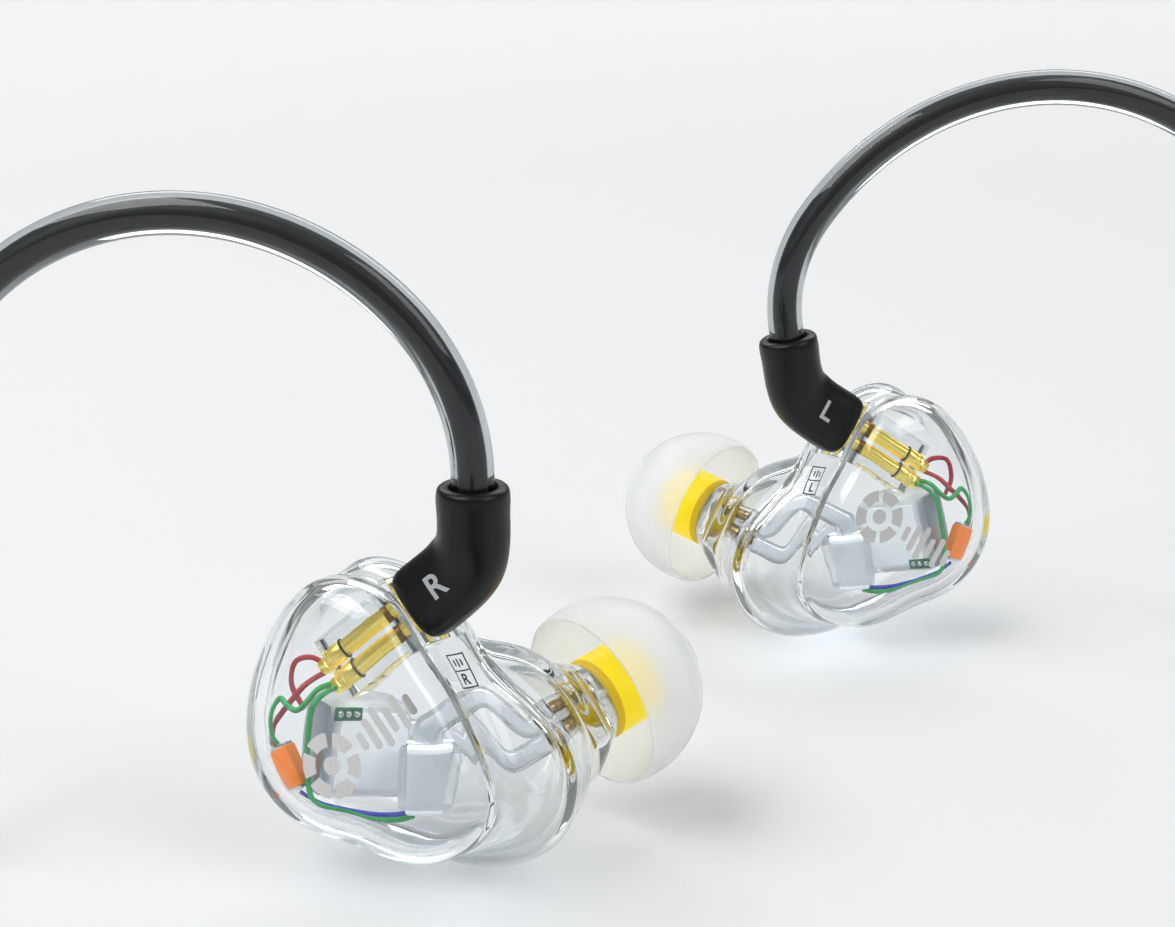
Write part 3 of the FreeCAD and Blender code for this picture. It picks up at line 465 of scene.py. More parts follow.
OUTLINES = {
    "rim": (7.4, 6.1, 6.2, 8.4, 9.8, 9.2, 9.2, 9.7, 9.4, 8.8, 10.4, 10.8),
    "belly": (9.6, 6.9, 6.7, 9.1, 11.3, 9.9, 9.2, 9.2, 9.2, 9.6, 11.2, 12.0),
    "waist": (9.3, 6.4, 5.5, 6.7, 8.9, 8.6, 8.2, 8.2, 8.6, 9.2, 10.2, 10.6),
    "ankle": (6.5, 6.2, 6.5, 6.4, 5.9, 5.9, 5.9, 6.0, 6.3, 6.7, 7.1, 7.0),
}
BODY_SECTIONS = (
    ("rim", (0, 0, 0), 0),
    ("rim", (0.1, -0.1, -3.0), 0),
    ("belly", (1.0, -0.6, -5.3), 0.05),
    ("waist", (2.6, -1.5, -7.6), 0.35),
    ("ankle", (6.0, -1.6, -9.6), 0.65),
)
ROUND_STEPS = 96
LOFT_STEPS = 64


def periodic(points, count):
    """A closed cubic spline through points at even spacing, sampled evenly."""
    given = np.array(points, float)
    total = len(given)
    share = (4 + 2 * np.cos(2 * np.pi * np.arange(total) / total)) / 6
    knots = np.fft.ifft(np.fft.fft(given, axis=0) / share[:, None], axis=0).real
    t = np.arange(count) * total / count
    i = np.floor(t).astype(int)
    u = (t - i)[:, None]
    weights = ((1 - u) ** 3, 3 * u ** 3 - 6 * u ** 2 + 4, -3 * u ** 3 + 3 * u ** 2 + 3 * u + 1, u ** 3)
    return sum(w / 6 * knots[(i + step - 1) % total] for step, w in enumerate(weights))


def natural_rows(rows, samples):
    """Rows of points on the natural cubic splines through the given rows."""
    rows = np.array(rows)
    count = len(rows)
    gaps = np.linalg.norm(np.diff(rows, axis=0), axis=2).mean(axis=1)
    at = np.concatenate([[0], np.cumsum(gaps)])
    h = np.diff(at)
    matrix = np.eye(count)
    right = np.zeros_like(rows)
    for k in range(1, count - 1):
        matrix[k, k - 1:k + 2] = h[k - 1], 2 * (h[k - 1] + h[k]), h[k]
        right[k] = 6 * ((rows[k + 1] - rows[k]) / h[k] - (rows[k] - rows[k - 1]) / h[k - 1])
    bend = np.linalg.solve(matrix, right.reshape(count, -1)).reshape(rows.shape)
    out = []
    for t in np.linspace(0, at[-1], samples):
        k = min(int(np.searchsorted(at, t, side="right")) - 1, count - 2)
        a, b = (at[k + 1] - t), (t - at[k])
        out.append((bend[k] * a ** 3 + bend[k + 1] * b ** 3) / (6 * h[k])
                   + (rows[k] / h[k] - bend[k] * h[k] / 6) * a
                   + (rows[k + 1] / h[k] - bend[k + 1] * h[k] / 6) * b)
    return out


def ring(centre, heading, radii):
    """A smooth closed outline given by its radii at even angles."""
    normal = Vector(heading).normalized()
    x_axis = (Vector((1, 0, 0)) - normal * normal.x).normalized()
    y_axis = x_axis.cross(normal)
    points = [Vector(centre) + (x_axis * c + y_axis * s) * radius
              for radius, (c, s) in zip(radii, circle(len(radii)))]
    return periodic(points, ROUND_STEPS)


def body_rows(inset):
    rows = []
    for name, centre, turn in BODY_SECTIONS:
        heading = Vector((0, 0, -1)) * (1 - turn) + NOZZLE * turn
        rows.append(ring(centre, heading, [r - inset for r in OUTLINES[name]]))
    heel = 4.4 - 1.4 * inset
    rows.append(ring(nozzle_point(-2.3), NOZZLE, [heel] * 12))
    along, radius = (-0.8, 1.75) if inset else (0, 3.0)
    rows.append(ring(nozzle_point(along), NOZZLE, [radius] * 12))
    return natural_rows(rows, LOFT_STEPS)


WALL = 1.0
SEAM = 0.03


def shell_rings():
    """Round the wall's section: outside to the nozzle's tip, back along the bore and the inside."""
    outer = body_rows(0)
    inner = body_rows(WALL)
    rim = [outer[0] + (inner[0] - outer[0]) * 0.08]
    rim[0][:, 2] -= SEAM
    outer[0][:, 2] -= SEAM + 0.12
    inner[0][:, 2] -= SEAM
    nozzle = [ring(nozzle_point(along), NOZZLE, [radius] * 12) for along, radius in (
        (0.02, 2.95), (0.03, 2.42), (1.2, 2.4), (4.2, 2.4), (4.5, 2.3), (4.6, 2.15), (4.6, 1.85),
        (4.5, 1.75), (1.0, 1.75))]
    return rim + outer + nozzle + inner[::-1]


def world_rings(ear, rings):
    return [[on_ear(ear, point) for point in ring_points] for ring_points in rings]


def build_shell(ear):
    body = "earpiece_" + ear
    shell = loft("shell_" + ear, world_rings(ear, shell_rings()), ACRYLIC, body,
                 ("shell_body_" + ear,), closed=True)
    cut(shell, socket_cutter(ear, 0, 6, 5.9, 4.5), socket_cutter(ear, -2.0, 3, 5.38, 3.38),
        socket_cutter(ear, -7.2, 3, 4.78, 2.88))
    dome = loft("face_" + ear, world_rings(ear, face_rings()), ACRYLIC, body, ("faceplate_" + ear,))
    cut(dome, socket_cutter(ear, -1.95, 6, 5.38, 3.38))
    return shell, dome


DOME_DEPTH = 2.9
DOME_PROFILE = ((0.988, 0.012), (0.999, 0.05), (0.998, 0.12), (0.993, 0.24), (0.985, 0.36), (0.968, 0.53),
                (0.94, 0.70), (0.90, 0.83), (0.84, 0.93), (0.775, 0.985), (0.70, 1.0), (0.5, 1.0),
                (0.25, 1.0), (0.04, 1.0))
INNER_PROFILE = ((1.0, 0.0), (0.99, 0.25), (0.975, 0.5), (0.945, 0.7), (0.90, 0.85), (0.84, 0.95),
                 (0.78, 1.0), (0.5, 1.0), (0.25, 1.0), (0.04, 1.0))


def face_rings():
    """Outside of the faceplate from its middle to its rim, then its inside back to the middle."""
    outer, inner = [], []
    for scale, share in DOME_PROFILE:
        radii = [r * scale for r in OUTLINES["rim"]]
        outer.append(ring((0, 0, SEAM + (DOME_DEPTH - SEAM) * share), (0, 0, -1), radii))
    for scale, share in INNER_PROFILE:
        radii = [max(r * scale - WALL * min(1, scale * 1.3), 0.05) for r in OUTLINES["rim"]]
        inner.append(ring((0, 0, SEAM + (DOME_DEPTH - WALL - SEAM) * share), (0, 0, -1), radii))
    return outer[::-1] + inner


# ---- socket

PIN_HALF = 0.775


def socket_frame(ear, aside=0.0):
    """z down the socket, from its face; x across it."""
    return placed(ear, socket_point(0, aside), -SOCKET, ACROSS)


def shift(matrix, x, y, z):
    return matrix @ Matrix.Translation(Vector((x, y, z)) * MM)


def build_socket(ear):
    body = "earpiece_" + ear
    rounded_box("block_" + ear, (4.7, 2.8, 5.2), 0.08, shift(socket_frame(ear), 0, 0, 4.5), BLOCK, body,
                ("socket_block_" + ear,), segments=2)
    rounded_box("collar_" + ear, (5.3, 3.3, 1.86), 0.1, shift(socket_frame(ear), 0, 0, 0.95), BLOCK, body,
                segments=2)
    barrel = ((0.45, 0.5), (0.56, 0.5), (0.6, 0.56), (0.6, 1.62), (0.55, 1.68), (0.55, 2.2),
              (0.6, 2.26), (0.6, 5.64), (0.62, 5.84), (0.68, 5.86), (0.71, 5.92), (0.71, 6.7),
              (0.64, 6.76), (0.64, 6.9), (0.71, 6.96), (0.71, 7.24), (0.67, 7.3), (0.57, 7.32),
              (0.57, 7.62), (0.53, 7.68), (0.6, 7.76), (0.6, 8.3), (0.54, 8.4), (0.3, 8.4), (0.3, 8.0),
              (0.05, 8.0))
    for name, aside in (("a", -PIN_HALF), ("b", PIN_HALF)):
        matrix = socket_frame(ear, aside)
        lathe("sleeve_%s_%s" % (name, ear), barrel, matrix, GOLD, body,
              ("socket_sleeves_" + ear,), steps=32)
        lathe("band_%s_%s" % (name, ear), ((0.58, 1.7), (0.605, 1.72), (0.605, 2.18), (0.58, 2.2)),
              matrix, GROOVE, body, steps=32, closed=True)
        seal = [(0.66 + 0.09 * c, 5.72 + 0.09 * s) for c, s in circle(10)]
        lathe("seal_%s_%s" % (name, ear), seal, matrix, SEAL, body, ("sleeve_seals_" + ear,),
              steps=32, closed=True)


# ---- inside

WOOFER_SPOT = ((-3.015, -3.2, -3.46), (0.55, -0.05, -0.83), (0.83, 0.0, 0.55))
TWEETER_SPOT = ((2.75, -4.3, -3.0), (-0.06, 0.99, 0.0), (0.5, 0.03, 0.87))
CAPACITOR_SPOT = ((-5.94, -4.6, 0.32), (0.55, -0.83, 0.0), (0.0, 0.0, 1.0))


def spot_frame(ear, spot):
    point, x_axis, z_axis = spot
    x = Vector(x_axis).normalized()
    return placed(ear, point, Vector(z_axis) - x * x.dot(Vector(z_axis)), x)


def build_drivers(ear):
    body = "earpiece_" + ear
    big = spot_frame(ear, WOOFER_SPOT)
    for name, size, bevel, offset, mat, stands_for in (
            ("woofer_can_", (6.3, 6.7, 3.7), 0.4, (0.2, 0, 0), FROST, ("woofer_" + ear,)),
            ("woofer_plate_", (0.3, 6.2, 3.2), 0.12, (-3.1, 0, 0), SLATE, ()),
            ("woofer_core_", (5.6, 5.9, 2.9), 0.3, (0.3, 0, 0.1), STEEL, ()),
            ("woofer_lid_", (5.2, 5.3, 0.24), 0.1, (0.35, 0, 1.84), PALE, ()),
            ("woofer_board_", (2.0, 0.9, 0.2), 0.05, (-1.8, 2.6, 1.88), BOARD, ())):
        rounded_box(name + ear, size, bevel, shift(big, *offset), mat, body, stands_for)
    for step in range(3):
        blob = shift(big, -2.4 + 0.6 * step, 2.6, 1.96)
        lathe("woofer_pad_%d_%s" % (step, ear), ((0.24, 0), (0.2, 0.1), (0.1, 0.17), (0.01, 0.18)),
              blob, SOLDER, body, steps=16)
    small = spot_frame(ear, TWEETER_SPOT)
    rounded_box("tweeter_can_" + ear, (4.8, 2.6, 2.6), 0.25, small, STEEL, body, ("tweeter_" + ear,))
    rounded_box("tweeter_seam_" + ear, (4.86, 2.66, 0.14), 0.04, shift(small, 0, 0, 0.3), SLATE, body)
    sleeve = rounded_box("tweeter_sleeve_" + ear, (3.9, 3.6, 3.6), 0.35, small, FROST, body,
                         ("tweeter_boot_" + ear,))
    cut(sleeve, rounded_box("cutter", (6, 2.64, 2.64), 0.25, small, FROST, "lead"))
    cell = spot_frame(ear, CAPACITOR_SPOT)
    rounded_box("capacitor_body_" + ear, (2.9, 1.7, 1.3), 0.14, cell, ORANGE, body,
                ("capacitor_" + ear,))
    for end in (-1, 1):
        rounded_box("capacitor_end_%d_%s" % (end + 1, ear), (0.3, 1.5, 1.1), 0.1,
                    shift(cell, 1.5 * end, 0, 0), SOLDER, body)


LOW_ROUTE = ((-0.48, -2.1, -6.09), (0.6, -2.1, -7.2), (2.6, -2.8, -7.5), (5.9, -3.8, -7.4))
HIGH_ROUTE = ((2.6, -1.84, -3.1), (2.7, -0.6, -3.5), (4.6, 0.9, -6.0))
TUBE_ASIDE = 0.86
DAMPER_START = -3.4


def build_tubes(ear):
    body = "earpiece_" + ear
    for name, route, aside in (("low_tube", LOW_ROUTE, TUBE_ASIDE),
                               ("high_tube", HIGH_ROUTE, -TUBE_ASIDE)):
        points = [Vector(p) for p in route]
        points += [nozzle_point(DAMPER_START - 1.8, aside), nozzle_point(DAMPER_START, aside)]
        path = flowing([on_ear(ear, p) for p in points])
        hollow_tube("%s_soft_%s" % (name, ear), path, 0.8 * MM, 0.5 * MM, TUBE, body,
                    ("%s_%s" % (name, ear),))
    sleeve = ((0.5, 0), (0.85, 0), (0.85, 3.9), (0.8, 4.0), (0.55, 4.0))
    cup = ((0.35, 0), (0.5, 0), (0.5, 0.7), (0.42, 0.8), (0.5, 0.9), (0.5, 2.2), (0.46, 2.4), (0.35, 2.4))
    for name, aside in (("a", -TUBE_ASIDE), ("b", TUBE_ASIDE)):
        matrix = placed(ear, nozzle_point(DAMPER_START, aside), NOZZLE, (1, 0, 0))
        lathe("damper_sleeve_%s_%s" % (name, ear), sleeve, matrix, TUBE, body, ("dampers_" + ear,),
              steps=28, closed=True)
        lathe("damper_cup_%s_%s" % (name, ear), cup, matrix, AMBER, body, steps=28, closed=True)
        cloth = ((0.02, 1.9), (0.34, 1.88), (0.34, 2.0), (0.02, 2.04))
        lathe("damper_cloth_%s_%s" % (name, ear), cloth, matrix, MESH, body, steps=20)
    screen = placed(ear, nozzle_point(4.1), NOZZLE, (1, 0, 0))
    lathe("screen_" + ear, ((0.02, 0.0), (1.74, 0.0), (1.74, 0.22), (1.2, 0.3), (0.02, 0.34)), screen,
          MESH, body, ("nozzle_screen_" + ear,), steps=32)


RED_ROUTES = (
    ((-5.2, 2.15, -2.5), (-6.3, 2.6, -2.1), (-7.4, 2.2, -1.9), (-7.68, 1.1, -1.9), (-7.5, 0.0, -2.1),
     (-6.5, -1.1, -2.1)),
    ((-5.05, 1.75, -2.5), (-5.7, 1.1, -0.9), (-6.3, 0.1, -0.3), (-7.1, -1.1, -0.1), (-7.65, -2.1, 0.0),
     (-7.5, -3.0, 0.3), (-7.15, -3.42, 0.35)),
)
GREEN_ROUTES = (
    ((-4.3, 1.05, -2.5), (-4.7, 0.85, -0.8), (-5.3, -0.4, 0.6), (-6.2, -0.3, 0.6), (-7.0, 0.0, 0.4),
     (-7.5, -1.0, 0.7), (-7.3, -2.4, 0.8), (-6.8, -3.12, 0.55)),
    ((-4.0, 0.8, -2.5), (-3.9, 0.85, -0.6), (-4.0, 0.15, 0.9), (-4.2, -1.8, 0.9), (-4.3, -4.2, 0.6),
     (-3.5, -6.5, 0.7), (-1.6, -7.2, -0.5), (0.2, -7.4, -1.05), (1.6, -7.3, -1.9), (2.4, -7.0, -2.6)),
)
BLUE_ROUTES = (
    ((-5.0, -6.2, 0.3), (-3.8, -7.0, -0.5), (-2.0, -7.25, -1.2), (-0.3, -7.32, -1.7), (0.9, -7.2, -2.3),
     (1.9, -7.0, -3.0)),
)


def build_wires(ear):
    body = "earpiece_" + ear
    for name, routes, mat in (("red_wires", RED_ROUTES, RED), ("green_wires", GREEN_ROUTES, GREEN),
                              ("blue_wire", BLUE_ROUTES, BLUE)):
        for number, route in enumerate(routes):
            path = flowing([on_ear(ear, p) for p in route], 10)
            tube("%s_strand_%d_%s" % (name, number, ear), path, 0.2 * MM, mat, body,
                 ("%s_%s" % (name, ear),), steps=14)


# ---- eartip

TIP_CENTRE, TIP_RADIUS, TIP_WALL, SKIRT_BACK, TIP_FRONT = 1.9, 6.65, 0.6, 1.7, 5.4


def dome_profile():
    """The skirt and front of the tip as one closed section, then the throat round the core."""
    def arc(radius, low, high, steps):
        turns = np.linspace(math.asin(low / radius), math.asin(high / radius), steps)
        return [(radius * math.cos(a), TIP_CENTRE + radius * math.sin(a)) for a in turns]

    outer = arc(TIP_RADIUS, -SKIRT_BACK, TIP_FRONT, 40)
    inner = []
    for radius, height in arc(TIP_RADIUS - TIP_WALL, -SKIRT_BACK, TIP_FRONT - TIP_WALL, 34):
        depth = (height - TIP_CENTRE + SKIRT_BACK) / 3.5
        thin = 0.42 * max(0.0, 1 - depth) ** 1.5
        inner.append((radius + thin, height))
    mouth = [(3.5, 7.36), (3.1, 7.3), (2.85, 7.1), (2.75, 6.6), (2.75, 4.6)]
    back = [(3.35, 4.5), (3.45, 5.8)]
    return outer + mouth + back + inner[::-1]


def build_tip(ear):
    body = "eartip_" + ear
    matrix = placed(ear, nozzle_point(0), NOZZLE, (1, 0, 0))
    lathe("tip_dome_" + ear, dome_profile(), matrix, DOME, body, ("eartip_dome_" + ear,), steps=96,
          closed=True)
    core = ((2.5, 0.72), (2.9, 0.70), (3.03, 0.74), (3.05, 0.85), (3.05, 4.3), (2.95, 4.5), (2.47, 4.5),
            (2.47, 2.0))
    lathe("tip_core_" + ear, core, matrix, CORE, body, ("eartip_core_" + ear,), steps=72, closed=True)
    lip = ((2.5, 0.14), (2.78, 0.14), (2.88, 0.18), (3.0, 0.4), (3.04, 0.6), (3.04, 0.7), (2.5, 0.7))
    # The lip's darker mustard colour is painted shade on the core's yellow.
    lathe("tip_lip_" + ear, lip, matrix, CORE_LIP_PAINTED_SHADE, body, steps=72, closed=True)


# ---- boot and hook

HOOK_TURN = math.radians(8)
BOOT_REACH, BOOT_RISE = 5.34, 5.2
BOOT_WIDTH, BOOT_THICKNESS, BOOT_TOP = 5.3, 3.9, 2.42
PLUG_IN = 1.6


def hook_axes(ear):
    side, tilt = EARS[ear]["side"], math.radians(EARS[ear]["tilt"])
    level = Vector((-side * math.cos(HOOK_TURN), math.sin(HOOK_TURN), 0))
    upright = Vector((0, 0, math.cos(tilt))) - level * math.sin(tilt)
    return upright, level * math.cos(tilt) + Vector((0, 0, math.sin(tilt)))


def boot_points(ear):
    start = on_ear(ear, socket_point(0.1))
    heading = ear_direction(ear, SOCKET)
    bend = start + heading * BOOT_REACH * MM
    return start, bend, bend + hook_axes(ear)[0] * BOOT_RISE * MM, heading


def build_boot(ear):
    start, bend, top, heading = boot_points(ear)
    upright = hook_axes(ear)[0]
    across = ear_direction(ear, ACROSS)
    tube_wide, tube_thick = 2 * BOOT_TOP / BOOT_WIDTH, 2 * BOOT_TOP / BOOT_THICKNESS
    mean = (heading + upright).normalized()

    def superellipse(centre, normal, half_wide, half_thick, power):
        x_axis = (across - normal * across.dot(normal)).normalized()
        y_axis = normal.cross(x_axis)
        row = []
        for c, s in circle(72):
            reach = (abs(c) ** power + abs(s) ** power) ** (-1 / power) * MM
            row.append(centre + (x_axis * c * half_wide + y_axis * s * half_thick) * reach)
        return row

    stations = [(start + heading * along * MM, heading, wide, thick, power)
                for along, wide, thick, power in (
                    (0, 0.80, 0.78, 3.2), (0.06, 0.90, 0.89, 3.2), (0.35, 0.97, 0.97, 3.2),
                    (1.0, 1.0, 1.0, 3.2), (BOOT_REACH * 0.55, 1.0, 1.0, 2.8))]
    stations.append((bend - (heading - upright) * 0.55 * MM, mean, 0.99, 1.06, 2.4))
    stations += [(top - upright * down * MM, upright, scale * tube_wide, scale * tube_thick, 2)
                 for down, scale in ((BOOT_RISE * 0.6, 1), (1.6, 1), (0.45, 1), (0.12, 0.95), (0, 0.84))]
    rows = [superellipse(centre, normal, BOOT_WIDTH * wide / 2, BOOT_THICKNESS * thick / 2, power)
            for centre, normal, wide, thick, power in stations]
    rings = [[Vector(p) for p in row] for row in natural_rows(rows, 60)]
    for depth, radius in ((0.0, 1.72), (0.12, 1.6), (0.5, 1.56), (PLUG_IN, 1.5)):
        rings.append(superellipse(top - upright * depth * MM, upright, radius, radius, 2))
    return loft("boot_soft_" + ear, rings, BLACK, "lead", ("boot_" + ear,), sharp=50)


def hook_points(ear):
    """Centre line of the ear hook: three arcs between two short straights."""
    facts = EARS[ear]
    tight, wide = facts["tight"] * MM, facts["wide"] * MM
    upright, away = hook_axes(ear)
    top = boot_points(ear)[2]
    spring = top + upright * 0.5 * MM
    drop = (wide - tight) * math.sqrt(0.5)
    half = tight + drop
    points = [top - upright * PLUG_IN * MM, top, spring]

    def arc(radius, across, rise, first, last):
        for degrees in np.arange(first, last + 0.1, 2.5):
            turn = math.radians(degrees)
            points.append(spring + away * (across - radius * math.cos(turn))
                          + upright * (rise + radius * math.sin(turn)))

    arc(tight, tight, 0, 2.5, 45)
    arc(wide, half, -drop, 47.5, 135)
    arc(tight, 2 * half - tight, 0, 137.5, 180)
    points.append(points[-1] - upright * 3.0 * MM)
    return points


def build_hook(ear):
    points = hook_points(ear)
    radii = [1.43 * MM] * (len(points) - 1) + [1.30 * MM]
    loft("hook_jacket_" + ear, tube_rings(points, radii, 48), JACKET, "lead", ("hook_sleeve_" + ear,))
    heading = (points[-1] - points[-2]).normalized()
    lead = points + [points[-1] + heading * 0.2 * MM]
    tube("hook_core_" + ear, lead, 0.65 * MM, LEAD, "lead", ("hook_lead_" + ear,), steps=32)


# ---- lettering and marks

def letter_mesh(text, height):
    """The outline of a letter as a flat mesh about the origin, with the given cap height."""
    curve = bpy.data.curves.new("letter", "FONT")
    curve.body = text
    curve.align_x = "CENTER"
    curve.align_y = "CENTER"
    curve.offset = 0.02
    item = linked("letter", curve)
    mesh = evaluated_mesh(item)
    bpy.data.objects.remove(item)
    co = np.array([v.co for v in mesh.vertices])
    low, high = co.min(0), co.max(0)
    factor = height / (high[1] - low[1])
    for vert in mesh.vertices:
        vert.co = (Vector(vert.co) - Vector((low + high) / 2)) * factor
    return mesh


def project_flat(name, mesh, matrix, target, mat, body, lift, thick):
    """Lays a flat outline on the piece in front of it, as a thin raised print."""
    work = bmesh.new()
    work.from_mesh(mesh)
    bmesh.ops.triangulate(work, faces=work.faces)
    bmesh.ops.subdivide_edges(work, edges=[e for e in work.edges if e.calc_length() > 0.25 * MM], cuts=2,
                              use_grid_fill=False)
    bmesh.ops.triangulate(work, faces=work.faces)
    shape = bmesh.new()
    shape.from_mesh(target.data)
    tree = BVHTree.FromBMesh(shape)
    shape.free()
    down = -(matrix.to_3x3() @ Vector((0, 0, 1))).normalized()
    for vert in work.verts:
        place = tree.ray_cast(matrix @ vert.co - down * 6 * MM, down)[0]
        vert.co = (matrix @ vert.co if place is None else place) - down * lift * MM
    work.verts.index_update()
    low = [vert.co.copy() for vert in work.verts]
    flat = [[vert.index for vert in face.verts] for face in work.faces]
    rim = [(loop.vert.index, loop.link_loop_next.vert.index) for face in work.faces for loop in face.loops
           if loop.edge.is_boundary]
    work.free()
    count = len(low)
    faces = [face[::-1] for face in flat] + [[index + count for index in face] for face in flat]
    faces += [(a, b, b + count, a + count) for a, b in rim]
    return piece(name, low + [point - down * thick * MM for point in low], faces, mat, body, sharp=30)


def flat_shape(outlines):
    """A flat mesh from closed outlines given in millimetres."""
    work = bmesh.new()
    for outline in outlines:
        work.faces.new([work.verts.new((x * MM, y * MM, 0)) for x, y in outline])
    mesh = bpy.data.meshes.new("flat")
    work.to_mesh(mesh)
    work.free()
    return mesh


def arc_points(x, y, radius, first, last, steps):
    turns = [math.radians(first + (last - first) * i / steps) for i in range(steps + 1)]
    return [(x + radius * math.cos(a), y + radius * math.sin(a)) for a in turns]


def capsule(x, y, width, height):
    """Outline of an upright bar with round ends."""
    rise = (height - width) / 2
    return arc_points(x, y + rise, width / 2, 0, 180, 8) + arc_points(x, y - rise, width / 2, 180, 360, 8)


def frame_strokes(width, height, stroke):
    """Four thin bars round a rectangle and one across its middle."""
    half_w, half_h, half = width / 2, height / 2, stroke / 2
    level = [(-half_w, y - half, half_w, y + half) for y in (-half_h, half_h)]
    upright = [(x - half, -half_h - half, x + half, half_h + half) for x in (-half_w, half_w)]
    return [[(x0, y0), (x1, y0), (x1, y1), (x0, y1)]
            for x0, y0, x1, y1 in level + upright + [(-half_w, -half, half_w, half)]]


BAR_HEIGHTS = (1.3, 2.3, 3.0, 1.8, 2.6, 1.5)


def arc_band(x, y, inner, outer, first, last):
    """Outline of part of a flat ring, between two angles in degrees."""
    return arc_points(x, y, outer, first, last, 14) + arc_points(x, y, inner, first, last, 14)[::-1]


def build_marks(ear, shell, dome, boot):
    """A letter on the boot, a ring with level bars on the face and a small boxed letter by the seam."""
    body = "earpiece_" + ear
    text = ear.upper()
    start, _, _, heading = boot_points(ear)
    out = ear_direction(ear, (0, 0, 1))
    reading = heading * EARS[ear]["side"]
    face_turn = axes(reading, out.cross(reading), out)
    project_flat("boot_letter_" + ear, letter_mesh(text, 1.65 * MM),
                 Matrix.Translation(start + heading * 3.05 * MM) @ face_turn, boot, INK, "lead",
                 -0.005, 0.02)
    shapes = [arc_band(-2.5, 0, 1.25, 2.2, 60 * i + 4, 60 * i + 50) for i in range(6)]
    shapes.append([(-2.5 + 0.62 * c, 0.62 * s) for c, s in circle(24)])
    shapes += [capsule(0.5 + 0.88 * i, 0, 0.52, h) for i, h in enumerate(BAR_HEIGHTS)]
    plate = Matrix.Translation(on_ear(ear, (0.5, -1.4, DOME_DEPTH))) @ face_turn
    project_flat("level_mark_" + ear, flat_shape(shapes), plate, dome, MARK, body, 0.0, 0.02)
    normal = ear_direction(ear, (0.72, 0.67, 0.17))
    upward = ear_direction(ear, (-0.62, 0.77, -0.15))
    upward = (upward - normal * upward.dot(normal)).normalized()
    small = Matrix.Translation(on_ear(ear, (4.85, 3.4, -2.6))) @ axes(upward.cross(normal), upward, normal)
    strokes = frame_strokes(1.5, 2.5, 0.1)
    strokes += [capsule(0.32 * i, 0.62, 0.13, 0.7 - 0.2 * abs(i)) for i in (-1, 0, 1)]
    project_flat("box_mark_" + ear, flat_shape(strokes), small, shell, LINE, body, 0.0, 0.015)
    project_flat("box_letter_" + ear, letter_mesh(text, 0.8 * MM), shift(small, 0, -0.62, 0), shell,
                 LINE, body, 0.0, 0.015)


# ---- loose cable

BRANCH_ROUTES = {
    "r": ((-0.2, -1.0, -14), (-1.4, -4.0, -20.6), (-2.4, -12, None), (-2.6, -22, None), (0.0, -33, None),
          (6.2, -43, None), (14.5, -50.5, None)),
    "l": ((2.4, -0.8, -12), (3.2, -3.0, -22), (3.0, -8.0, -28.8), (1.6, -16, None), (-0.4, -24, None),
          (-2.4, -36, None), (-6.0, -48, None), (-12.4, -58, None), (-21.5, -64.6, None),
          (-32, -69.4, None)),
}
LEAD_RADIUS = 0.65
COIL = Vector((-9.2, -69, 0))
SPLITTER_ANGLE = 200
SPLITTER_HEIGHT = 10.2


def coil_point(angle, radius, height):
    turn = math.radians(angle)
    return COIL + Vector((math.cos(turn) * radius, math.sin(turn) * radius, height))


def nurbs(name, points, radius, mat):
    """A smooth free cord whose control points are the route's points, in millimetres."""
    curve = bpy.data.curves.new(name, "CURVE")
    curve.dimensions = "3D"
    curve.bevel_depth = radius * MM
    curve.bevel_resolution = 6
    curve.resolution_u = 6
    curve.use_fill_caps = True
    spline = curve.splines.new("NURBS")
    spline.points.add(len(points) - 1)
    for place, point in zip(spline.points, points):
        place.co = (*(Vector(point) * MM), 1)
    spline.order_u = 3
    spline.use_endpoint_u = True
    curve.materials.append(mat)
    item = linked(name, curve)
    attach(item, "lead")
    return item


def branch_points(ear):
    end = hook_points(ear)[-1] / MM
    points = [end]
    for x, y, drop in BRANCH_ROUTES[ear]:
        height = LEAD_RADIUS if drop is None else max(end.z + drop, LEAD_RADIUS)
        points.append(Vector((end.x + x, end.y + y, height)))
    return points


TURN_STEP = 24


def coil_turns(first, last, start_radius, end_radius, height):
    """Points of thin turns on top of the coil, from one angle to another."""
    count = int(abs(last - first) / TURN_STEP)
    return [coil_point(first + (last - first) * share, start_radius + (end_radius - start_radius) * share,
                       height) for share in (index / count for index in range(count + 1))]


def level_heading(degrees):
    return Vector((math.cos(math.radians(degrees)), math.sin(math.radians(degrees)), 0))


SPLITTER_LENGTH = 13
SPLITTER_HEADING = level_heading(SPLITTER_ANGLE - 90)
SPLITTER_START = (coil_point(SPLITTER_ANGLE, 12, SPLITTER_HEIGHT)
                  - SPLITTER_HEADING * SPLITTER_LENGTH / 2)


def splitter_end(along, aside=0.0):
    """A point on the splitter's axis, from its main-cable end, with an offset outwards."""
    return SPLITTER_START + SPLITTER_HEADING * along + level_heading(SPLITTER_ANGLE) * aside


TOP = 8.1 - LEAD_RADIUS


PLUG_SIDE = 250


